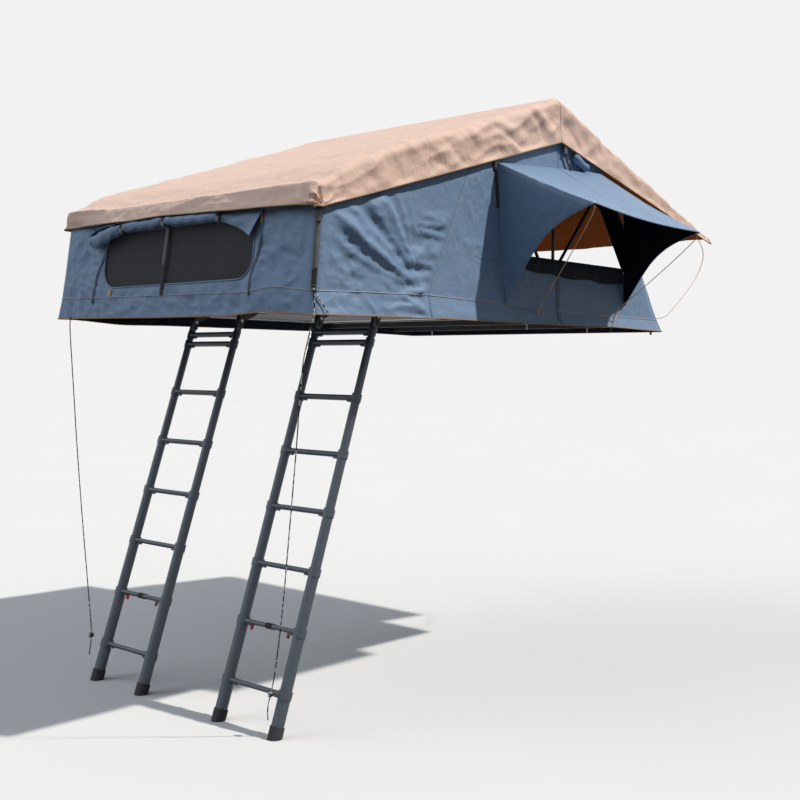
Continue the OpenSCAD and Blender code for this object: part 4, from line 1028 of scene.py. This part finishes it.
for x, z, size in zip_pulls:
    straps.add(block_mesh((x, end_surface(x, z) - 0.0065, z), size, 0.0015), yellow_pull)
extension_straps = goes_with_extension(straps.make("extension_straps"))
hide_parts("canopy_straps")

# Fastenings of the main tent: side release buckles under the fly's hem on both gables, a rolled vent flap
# beside the ridge, and the upright zip that closes the two halves of each door sill.
ridge_strap = [(0.014, -0.548, 1.085), (0.015, -0.545, 1.03), (0.016, -0.530, 0.985), (0.018, -0.505, 0.945),
               (0.020, -0.480, 0.915)]
vent_y = np.linspace(-0.455, -0.330, 9)
for side, sign in both_sides:
    front_set, rear_set = Sewn(), Sewn()
    heights = np.linspace(0.900, 0.615, 15)
    off = 0.010 + 0.003 * np.sin(20 * heights)
    path = spots(sign * (side_wall_x(heights) + off), door_edge(heights) - 0.010, heights)
    front_set.add(strap_mesh(path, (0, 1, 0), 0.022, 0.0018), webbing)
    buckle = (path[2, 0] + sign * 0.005, path[2, 1], 0.850)
    front_set.add(block_mesh(buckle, (0.011, 0.034, 0.052), 0.003), buckle_plastic)
    heights = np.linspace(0.000, 0.285, 12)
    path = spots(sign * (side_wall_x(heights) + 0.0032), fold_line_y - 0.006, heights)
    front_set.add(strap_mesh(path, (0, 1, 0), 0.012, 0.0016), zip_teeth)
    path = smooth_path([(sign * (float(side_wall_x(z)) + out), y, z) for out, y, z in ridge_strap], 4)
    rear_set.add(strap_mesh(path, (0, 1, 0), 0.022, 0.0018), webbing)
    buckle = (sign * (float(side_wall_x(1.03)) + 0.020), -0.546, 1.030)
    rear_set.add(block_mesh(buckle, (0.011, 0.034, 0.050), 0.003), buckle_plastic)
    vent_x = sign * (float(side_wall_x(0.98)) + 0.026)
    vent = spots(vent_x, vent_y, between(0.998, 0.950, (vent_y + 0.455) / 0.125))
    rear_set.add(tube_mesh(vent, 0.024 + 0.003 * np.sin(np.linspace(0, 7, 9)), 14), canvas)
    goes_with_floor(front_set.make("gable_fastenings_front_" + side), "fold_floor")
    goes_with_floor(rear_set.make("gable_fastenings_rear_" + side), "base")

# Fly sheet: coated dusty brown cloth over the whole tent, with a valance down both gables and over the end.
# It is seamed over the ridge and over the floor's end, and its rear edge is propped out on two bent wires.
fly_gap = 0.014
fly_thick = 0.0012
fly_split_y = 0.110
fly_end_y = -2.592
fly_cloth = Finish("dusty_fly", Roughness=0.5, Specular_IOR_Level=0.4, Sheen_Weight=0.12, Sheen_Roughness=0.4)
fly_dye = fly_cloth.tint(fly_cloth.clouds(1.6, 4.0, 0.6), srgb(208, 175, 159), srgb(222, 191, 175))
fly_rub = fly_cloth.clouds(22.0, 5.0, 0.7)
fly_cloth.set(Base_Color=fly_cloth.tint(fly_rub * 0.4, fly_dye, srgb(232, 206, 192)))
fly_cloth.set(Roughness=0.45 + fly_rub * 0.25)
fly_crush = fly_cloth.clouds(18.0, 5.0, 0.6) * 1.1 + fly_cloth.clouds(58.0, 4.0, 0.6) * 0.45
fly_cloth.grain(fly_crush + fly_cloth.threads(280.0, "Y") * 0.02, 0.5, 0.010)
# The fly's underside is an orange brown cloth, made a bright saturated orange that paints in the sunlight
# shining through the fly: partly its own colour, partly painted light.
fly_under_glow = clouded("fly_underside_painted_glow", 6.0, (216, 110, 42), (234, 130, 56), weave=("Y", 260.0, 0.2),
                    Roughness=0.85, Specular_IOR_Level=0.1)
fly_binding = clouded("fly_binding", 70.0, (138, 114, 82), (166, 140, 104), Roughness=0.7)


def fly_swell(y):
    """How far the fly stands above the straight line between the bows, over the extension and the floor."""
    return 0.045 * ease((y + 2.60) / 0.30) * (1 - ease((y + 2.15) / 1.45))


def fly_section(y, height, drop, swell_share=1.0):
    """One line across the fly, from the right valance's hem to the left one's."""
    hem = height - drop
    edge = float(side_wall_x(hem)) + fly_gap
    height = height + float(fly_swell(y)) * swell_share
    drop = height - hem
    curl = min(0.050, 0.3 * drop)
    up = np.linspace(0, 1, 24)
    valance = spots(edge + 0.016 * (1 - up) ** 2, y, hem + (drop - curl) * up)
    turns = np.radians(np.linspace(12, 84, 7))
    bend = spots(edge - curl * (1 - np.cos(turns)), y, height - curl + curl * np.sin(turns))
    top = spots(np.linspace(edge - 1.05 * curl, -(edge - 1.05 * curl), 121), y, height)
    return np.concatenate([valance, bend, top, bend[::-1] * to_left, valance[::-1] * to_left])


def fly_lines(places, swell_shares):
    return [fly_section(y, float(fly_height(y)), float(fly_drop(y)), float(share))
            for y, share in zip(places, swell_shares)]


def fly_wrinkles(grid, soft_rows):
    """Crumples all over, deeper down the valances, near the ridge and round the near shoulder's buckle."""
    columns = grid.shape[1]
    x, y, z = grid[:, :, 0], grid[:, :, 1], grid[:, :, 2]
    from_hem = np.minimum(np.arange(columns), columns - 1 - np.arange(columns))
    valance = ease((34 - from_hem) / 16)[None, :]
    hem_hold = ease((from_hem + 1.5) / 7)[None, :]
    by_ridge = np.exp(-((y + 0.95) / 0.5) ** 2)
    slanted = spots(x, 0.86 * y + 0.51 * z, 0.86 * z - 0.51 * y)
    crossed = spots(x, 0.86 * y - 0.51 * z, 0.86 * z + 0.51 * y)
    both_ways = creases(slanted, (3, 3, 10), 36.0) - creases(crossed, (3, 4, 9), 39.0)
    crease = (0.0030 + 0.0050 * valance) * mottle(grid, (2.3, 3.1, 3), 31.0)
    crease = crease + (0.0035 + 0.0060 * valance) * both_ways
    crease = crease + 0.0036 * creases(grid, (11, 13, 12), 41.0)
    crease = crease + 0.0260 * valance * by_ridge * creases(slanted, (2, 2.2, 11), 45.0)
    crease = crease - 0.0180 * valance * by_ridge * creases(crossed, (2, 3, 9), 47.0)
    near_side = np.exp(-((x - 0.7) / 0.5) ** 2)
    crease = crease + 0.0060 * (1 - valance) * creases(slanted, (1.2, 5, 2), 53.0) * near_side
    round_way = np.where(x > 1.08, y + 2.575, x - 1.115)
    from_buckle = np.hypot(round_way, z - 0.475)
    gather = np.cos(9 * np.arctan2(z - 0.465, round_way)) * np.exp(-(from_buckle / 0.085) ** 2) * (x > 0.9)
    crease = crease + 0.014 * gather * (y < -2.4)
    crease = np.maximum(crease * hem_hold, -0.013) * soft_rows[:, None]
    return grid + grid_normals(grid) * crease[:, :, None]


def far_shoulder(grid):
    """The fly's far corner at the ladder end is drawn in and up, and its end hem rises towards the middle."""
    x, y, z = grid[:, :, 0], grid[:, :, 1], grid[:, :, 2]
    hanging = limit((0.598 - z) / 0.13) * ease((-1.95 - y) / 0.55)
    rise = np.interp(x, [-1.13, -0.06, 0.72, 1.02, 1.13], [0.026, 0.044, 0.020, 0.008, 0.002])
    moved = far_lean(grid, 0.038, 0.024)
    moved[:, :, 1] += 0.046 * hanging * ease((-x - 0.60) / 0.42) * (y < -2.56)
    moved[:, :, 2] += hanging * rise * ease((-y - 2.2) / 0.35)
    return moved


def lap_under(grid, rows):
    """Where one sheet of the fly runs in under the next, its rows there lie two cloths' thickness lower."""
    grid[rows] -= 2 * fly_thick * grid_normals(grid)[rows]
    return grid


def bind_fly(name, grid, rows):
    """Binding along both valances' hems, and along the given rows."""
    trim = Sewn()
    lift = grid_normals(grid)
    for column in (0, grid.shape[1] - 1):
        trim.add(tube_mesh(grid[:, column] + 0.0005 * lift[:, column], binding_radius, 6), fly_binding)
    for row in rows:
        trim.add(tube_mesh(grid[row] + 0.0005 * lift[row], binding_radius, 6), fly_binding)
    return trim.make(name + "_binding")


main_ys = np.linspace(-0.5988, fly_split_y, 44)
fly_main = fly_wrinkles(np.array(fly_lines(main_ys, np.ones(44))), ease((main_ys - fold_line_y) / 0.045))
over_ys = np.concatenate([[fly_split_y - 0.016, fly_split_y - 0.008], np.linspace(fly_split_y, 1.285, 60)])
fly_over = lap_under(fly_wrinkles(np.array(fly_lines(over_ys, np.ones(62))), np.ones(62)), [0, 1])
front_ys = np.concatenate([[-1.816, -1.808], np.linspace(-1.7997, -0.6012, 76), [-0.594, -0.586]])
fly_front = fly_wrinkles(np.array(fly_lines(front_ys, np.ones(80))), ease((fold_line_y - front_ys) / 0.045))
fly_front = lap_under(fly_front, [0, 1, 78, 79])
fly_hem_z = float(fly_height(-2.578)) - 0.120
fly_fold_z = float(fly_height(fly_end_y + 0.040))
end_turn = smooth_path([(-0.036, fly_fold_z - fly_hem_z - 0.006, 0), (-0.029, 0.100, 0), (-0.024, 0.086, 0),
                        (-0.018, 0.068, 0), (-0.012, 0.050, 0), (-0.006, 0.030, 0), (0.000, 0.014, 0),
                        (0.004, 0.006, 0), (0.010, 0.0015, 0), (0.022, -0.001, 0)], 3)
end_lines = [fly_section(fly_end_y + out, fly_fold_z - down, max(0.004, fly_fold_z - down - fly_hem_z), 0.0)
             for out, down, _ in end_turn]
end_ys = np.linspace(fly_end_y + 0.040, -1.8003, 54)
end_lines += fly_lines(end_ys, ease((end_ys + 2.56) / 0.1))
fly_end = far_shoulder(fly_wrinkles(np.array(end_lines), np.ones(len(end_lines))))
for name, grid, node, body, bow, rows in (
        ("fly_main", fly_main, "fly_rear", "base", "rear_bow", ()),
        ("fly_overhang", fly_over, "fly_rear", "rear_bow", "rear_bow", (-1,)),
        ("fly_middle", fly_front, "fly_front", "fold_floor", "front_bow", ()),
        ("fly_end", fly_end, "fly_extension", "extension_bow", "front_bow", (0,))):
    sheet = cloth(name, grid, fly_cloth, fly_under_glow, thickness=fly_thick)
    binding = bind_fly(name, grid, rows)
    for piece in (sheet, binding):
        if body == "extension_bow":
            goes_with_extension(piece)
        elif body == "rear_bow":
            goes_with(piece, body)
        else:
            goes_with_floor(piece, body)
    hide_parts(node)
    cut_size(grid)

# Door awnings: a canvas hood over each side door. Its cheeks narrow to points at the sill, its top is sewn
# under the fly's valance, and a bent wire holds each outer corner out.
wire_thick = 0.005
front_foot_z = 0.092
rear_foot_z = 0.130
rear_cheek_y = 0.146
hood_rear_y = 0.142
front_corner = np.array((1.6938, -1.120, 0.598))
rear_corner = np.array((1.6578, 0.110, 0.562))
# The awnings' underside is a dark navy painted darker than the walls' inside: painted shade for the shade
# under the hood.
shaded_awning_under = clouded("awning_underside_painted_shade", 8.0, (14, 18, 24), (24, 29, 37), weave=("Y", 260.0, 0.2),
                       Roughness=0.85, Specular_IOR_Level=0.1)
wire_finish = clouded("spring_wire", 40.0, (166, 124, 106), (196, 158, 136), gloss=(0.3, 0.25, 150.0),
                      Roughness=0.4, Metallic=0.3)
eyelet = clouded("pale_eyelet", 90.0, (206, 206, 204), (228, 228, 226), Roughness=0.4, Metallic=0.2)


def on_wall(y, z):
    return np.array((float(side_wall_x(z)) + canvas_thick, y, z))


def free_edge(foot, corner, share):
    """The cheek's open edge: it leaves the wall slowly and runs out to the corner at the end."""
    out = 0.57 * share + 0.43 * share ** 6
    return between(foot, corner, np.array((out, share, share)))


def hood_lines():
    """The hood's line along the wall and its outer line, from the front foot round to the rear foot."""
    wall, outer = [], []
    front_foot = on_wall(float(door_edge(front_foot_z)) - 0.004, front_foot_z) + (0.014, 0.006, 0.004)
    rear_foot = on_wall(rear_cheek_y, rear_foot_z) + (0.014, -0.006, 0.004)
    for share in np.linspace(0, 1, 30)[:-1]:
        z = between(front_foot_z, float(hood_line(hood_front_y)), share)
        wall.append(on_wall(float(door_edge(z)) - 0.004, z))
        outer.append(free_edge(front_foot, front_corner, share))
    for share in np.linspace(0, 1, 61):
        y = between(hood_front_y, hood_rear_y, share)
        wall.append(on_wall(y, float(hood_line(y))))
        bow = math.sin(math.pi * share)
        outer.append(between(front_corner, rear_corner, share) - (0.012 * bow, 0, 0.016 * bow))
    for share in np.linspace(1, 0, 30)[1:]:
        z = between(rear_foot_z, float(hood_line(hood_rear_y)), share)
        wall.append(on_wall(rear_cheek_y, z))
        outer.append(free_edge(rear_foot, rear_corner, share))
    return np.array(wall), np.array(outer)


def hood_wire(tail, foot_y, foot_z, tip):
    """A prop wire: its bent tail lies on the wall, and it springs from its foot to the awning's corner."""
    foot = np.array((float(side_wall_x(foot_z)) + 0.0032, foot_y, foot_z))
    shares = [(0, 0, 0), (0.03, 0.03, 0.08), (0.3, 0.3, 0.3), (0.7, 0.7, 0.65), (0.98, 0.98, 0.92), (1, 1, 1)]
    on_the_wall = [np.array((float(side_wall_x(z)) + 0.0062, y, z)) for y, z in tail]
    return smooth_path(on_the_wall + [between(foot, np.array(tip), np.array(p)) for p in shares], 10)


hood_wall, hood_outer = hood_lines()
hood_split = int(np.argmin(np.abs(hood_wall[29:90, 1] - fold_line_y))) + 29
hood_shares = np.linspace(0, 1, 33)
hood_sag = np.sin(math.pi * hood_shares)
hood = np.array([between(hood_wall, hood_outer, share) for share in hood_shares])
hood[:, :, 2] -= 0.010 * hood_sag[:, None]
hood_noise = 0.008 * mottle(hood, (4, 5, 4), 52.0) + 0.0060 * creases(hood, (7, 8, 7), 57.0)
hood_noise = hood_noise + 0.0012 * creases(hood, (21, 21, 21), 59.0)
hood += grid_normals(hood) * (hood_sag[:, None] ** 0.7 * hood_noise)[:, :, None]
hood_parts = (("front", "fold_floor", slice(0, hood_split + 1), front_corner, 0.012, (-0.81, 0.04),
               [(-0.845, 0.052), (-0.822, 0.046)]),
              ("rear", "base", slice(hood_split, None), rear_corner, -0.012, (0.057, 0.07),
               [(-0.19, 0.050), (-0.09, 0.056), (0.0, 0.024)]))
for side, sign in both_sides:
    flip = np.array((sign, 1, 1))
    for part, body, columns, corner, inward, wire_foot, wire_tail in hood_parts:
        grid = hood[:, columns] if side == "right" else mirrored(hood[:, columns])
        sheet = cloth("awning_%s_%s" % (side, part), grid, canvas, shaded_awning_under)
        trim = Sewn()
        trim.add(tube_mesh(grid[-1], 0.0034, 6), canvas)
        stud = [(corner + (-0.014, inward, 0.006)) * flip, (corner + (-0.012, inward, 0.010)) * flip]
        trim.add(tube_mesh(stud, 0.008, 12), eyelet)
        hem = trim.make("awning_%s_%s_hem" % (side, part))
        wire_path = hood_wire(wire_tail, *wire_foot, corner + (-0.010, inward, -0.004)) * flip
        wire_mesh = tube_mesh(wire_path, wire_thick / 2, 10)
        wire = shape("awning_wire_%s_%s" % (side, part), *wire_mesh, [wire_finish])
        for piece, slot in ((sheet, "canvas"), (hem, "canvas"), (wire, "spring_wire")):
            goes_with(piece, body)
        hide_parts("awning_" + side)
        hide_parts("awning_rods_" + part)
        cut_size(grid)

# Fly wires: two bent spring wires that stand in the rear floor edge and prop out the fly's rear hem.
# They are of the same wire as the awnings' props.
fly_wire_bend = [(0.800, 0.0882), (0.9257, 0.1572), (1.1842, 0.338), (1.3134, 0.479), (1.3369, 0.5773)]
for side, sign in both_sides:
    wire_points = [(sign * 1.044, 0.6101, 0.060)]
    wire_points += [(sign * 1.040, y, z) for y, z in fly_wire_bend]
    wire_points += [(sign * 1.036, 1.273, 0.6636)]
    wire_path = smooth_path(wire_points, 10)
    wire = shape("fly_wire_" + side, *tube_mesh(wire_path, wire_thick / 2, 10), [wire_finish])
    goes_with(wire, "base")
    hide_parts("fly_rods")

# Doors: each is unzipped, and its dark lining is rolled down onto the sill on both halves of the doorway.
# A loose fold of the lining hangs out over the sill.
roll_z = 0.325
roll_radius = 0.022
door_cloth = clouded("door_lining", 12.0, (20, 23, 28), (34, 38, 45), grit=(60.0, 0.4, 0.003),
                     Roughness=0.85, Specular_IOR_Level=0.15)


def door_roll(low, high):
    """The rolled lining of the right door, from the inside of the roll out."""
    shares = np.linspace(0, 1, 61)
    y = between(low, high, shares)
    z = roll_z - 0.006 * np.sin(math.pi * shares)
    x = float(side_wall_x(0.347)) - 0.0248
    rows = []
    for turn in np.linspace(0.3, 1, 64):
        angle = 2 * math.pi * 3.0 * turn
        uneven = 1 + 0.10 * np.sin(29 * y + 5 * turn) + 0.06 * np.sin(71 * y)
        reach = np.minimum(roll_radius * turn * uneven, roll_radius)
        rows.append(spots(x + reach * math.cos(angle), y, z + 1.6 * reach * math.sin(angle)))
    return np.array(rows)


def door_fold(low, high):
    """The fold that hangs out over the right door's sill, from its top inside down to its edge outside."""
    y = np.linspace(low - 0.0296, high + 0.0296, 61)
    low_z = np.interp(y, [-1.10, -0.60, 0.13], [0.300, 0.266, 0.258]) + 0.007 * np.sin(17 * y)
    rows = []
    for down in np.linspace(0, 1, 17):
        over_x = np.interp(down, [0, 0.15, 0.3, 0.45, 0.6, 1], [-0.046, -0.030, -0.008, 0.006, 0.011, 0.012])
        over_z = np.interp(down, [0, 0.15, 0.3, 0.45, 0.6], [0.330, 0.364, 0.370, 0.356, 0.336])
        rows.append(spots(side_wall_x(0.33) + over_x, y, between(over_z, low_z, limit((down - 0.6) / 0.4))))
    grid = np.array(rows)
    grid[:, :, 0] += 0.005 * limit(mottle(grid, (1, 14, 9), 71.0) + 0.4)
    return grid[::-1]


for side, _ in both_sides:
    for part, body, low, high, sills in (("rear", "base", -0.570, 0.090, rear_sides),
                                         ("front", "fold_floor", -1.075, -0.630, front_sides)):
        roll, fold = door_roll(low, high)[:, ::-1], door_fold(low, high)[:, ::-1]
        if side == "left":
            roll, fold = mirrored(roll), mirrored(fold)
        flap = cloth("door_flap_%s_%s" % (side, part), roll, door_cloth, door_cloth, thickness=0.0010)
        goes_with_floor(flap, body)
        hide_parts("door_flap_rolls")
        drape = cloth("door_drape_%s_%s" % (side, part), fold, door_cloth, door_cloth, thickness=0.0010)
        goes_with_floor(drape, body)
        cut_size(roll)

# Mattresses: a foam slab in a woven grey cover on each floor half. The covers crown a little
# and round off towards their edges, and lie flat on the floor panels.
pad_half = 0.97
pad_low = 0.0803
pad_side = 0.03375
pad_crown = 0.01125
pad_across, pad_along = 49, 31
cover_cloth = Finish("mattress_cover", Roughness=0.9, Specular_IOR_Level=0.1)
cover_cloth.dye(cover_cloth.clouds(20.0), (70, 72, 78), (88, 90, 96))
cover_cloth.grain(cover_cloth.threads(200.0, "X") * cover_cloth.threads(200.0, "Y"), 0.4, 0.001)
plump_x = np.sqrt(limit(1 - np.abs(np.linspace(-1, 1, pad_across)) ** 6))
plump_y = np.sqrt(limit(1 - np.abs(np.linspace(-1, 1, pad_along)) ** 6))
plump = plump_x[:, None] * plump_y[None, :]
pad_x = np.linspace(-pad_half, pad_half, pad_across)
pad_at = np.arange(pad_across * pad_along).reshape(pad_across, pad_along)
below = pad_at.size
pad_faces = []
for i in range(pad_across - 1):
    for j in range(pad_along - 1):
        a, b, c, d = pad_at[i, j], pad_at[i + 1, j], pad_at[i + 1, j + 1], pad_at[i, j + 1]
        pad_faces += [(a, b, c, d), (below + d, below + c, below + b, below + a)]
pad_edge = np.concatenate([pad_at[:, 0], pad_at[-1, 1:], pad_at[-2::-1, -1], pad_at[0, -2:0:-1]])
for first, second in zip(pad_edge, np.roll(pad_edge, -1)):
    pad_faces.append((second, first, below + first, below + second))
for name, node, body, low, high in (("mattress_rear", "base_mattress", "base", -0.592, 0.570),
                                    ("mattress_front", "fold_mattress", "fold_floor", -1.788, -0.608)):
    pad_y = np.linspace(low, high, pad_along)
    top = spots(pad_x[:, None], pad_y[None, :], pad_low + pad_side + pad_crown * plump)
    top[:, :, 2] -= 0.002 * (0.5 + 0.5 * mottle(top, (6, 6, 1), 61.0)) * plump
    bottom = top.copy()
    bottom[:, :, 2] = pad_low
    pad_points = np.concatenate([top.reshape(-1, 3), bottom.reshape(-1, 3)])
    pad = shape(name, pad_points, pad_faces, [cover_cloth])
    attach(pad, body)
    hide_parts(node)

# Floor, rails, hinge plates and bows: satin aluminium profiles round a dark sandwich panel, black rails
# under the fixed half, and black bow tubes on steel pins.
alloy = Finish("satin_alloy", Metallic=0.9, Roughness=0.4)
alloy.dye(alloy.clouds(30.0), (166, 168, 172), (188, 190, 194))
alloy.set(Roughness=0.32 + alloy.clouds(90.0, stretch=(1, 12, 12)) * 0.25)
panel = clouded("panel_skin", 25.0, (62, 64, 70), (78, 80, 86), grit=(260.0, 0.3, 0.001), Roughness=0.6)
black_metal = clouded("black_coat", 50.0, (20, 21, 23), (34, 35, 38), gloss=(0.38, 0.25, 160.0),
                      grit=(420.0, 0.15, 0.0005), Metallic=0.2, Roughness=0.45)
steel = clouded("zinc_steel", 60.0, (150, 152, 156), (178, 180, 184), gloss=(0.28, 0.2, 140.0),
                Metallic=1.0, Roughness=0.35)


def coat(finish, *names):
    """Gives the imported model's own pieces a finish."""
    for name in names:
        for holder in nodes[name].material_slots:
            holder.material = finish.material


coat(alloy, "base_floor_frame", "fold_floor_frame", "base_hinge_plates", "fold_hinge_plates")
coat(panel, "base_floor_panel", "fold_floor_panel")
coat(black_metal, "mount_rails", "ridge_bow", "front_bow", "rear_bow", "extension_bow", "ladder_brackets")
coat(steel, "mount_studs", "hinge_pins", "extension_pins", "ladder_pins")
coat(webbing, "base_strap_tails")

# Ladders: telescopic aluminium tubes, dark slate anodised, with grooved rungs clipped on by moulded collars.
# They end in grey rubber feet. Red lock buttons sit under the second lowest rung, beside a carrying strap.
ladder_metal = Finish("slate_anodised", Metallic=0.35, Roughness=0.45)
ladder_rub = ladder_metal.clouds(70.0, 4.0, 0.6, stretch=(1, 1, 0.2))
ladder_metal.dye(ladder_rub, (66, 74, 84), (86, 94, 104))
ladder_metal.set(Roughness=0.36 + ladder_rub * 0.25)
ladder_metal.grain(ladder_metal.clouds(500.0), 0.1, 0.0004)
rubber = clouded("grey_rubber", 60.0, (62, 63, 66), (80, 81, 84), grit=(300.0, 0.3, 0.001),
                 Roughness=0.85, Specular_IOR_Level=0.25)
red_plastic = clouded("red_button", 80.0, (176, 26, 24), (198, 40, 34), gloss=(0.32, 0.2, 200.0),
                      Roughness=0.4)
for side in ("left", "right"):
    coat(ladder_metal, *["ladder_%s_section_%d" % (side, k) for k in range(1, 9)])
    coat(rubber, "ladder_%s_feet" % side)
    coat(webbing, "ladder_%s_strap" % side)
    coat(red_plastic, "ladder_%s_button_outer" % side, "ladder_%s_button_inner" % side)
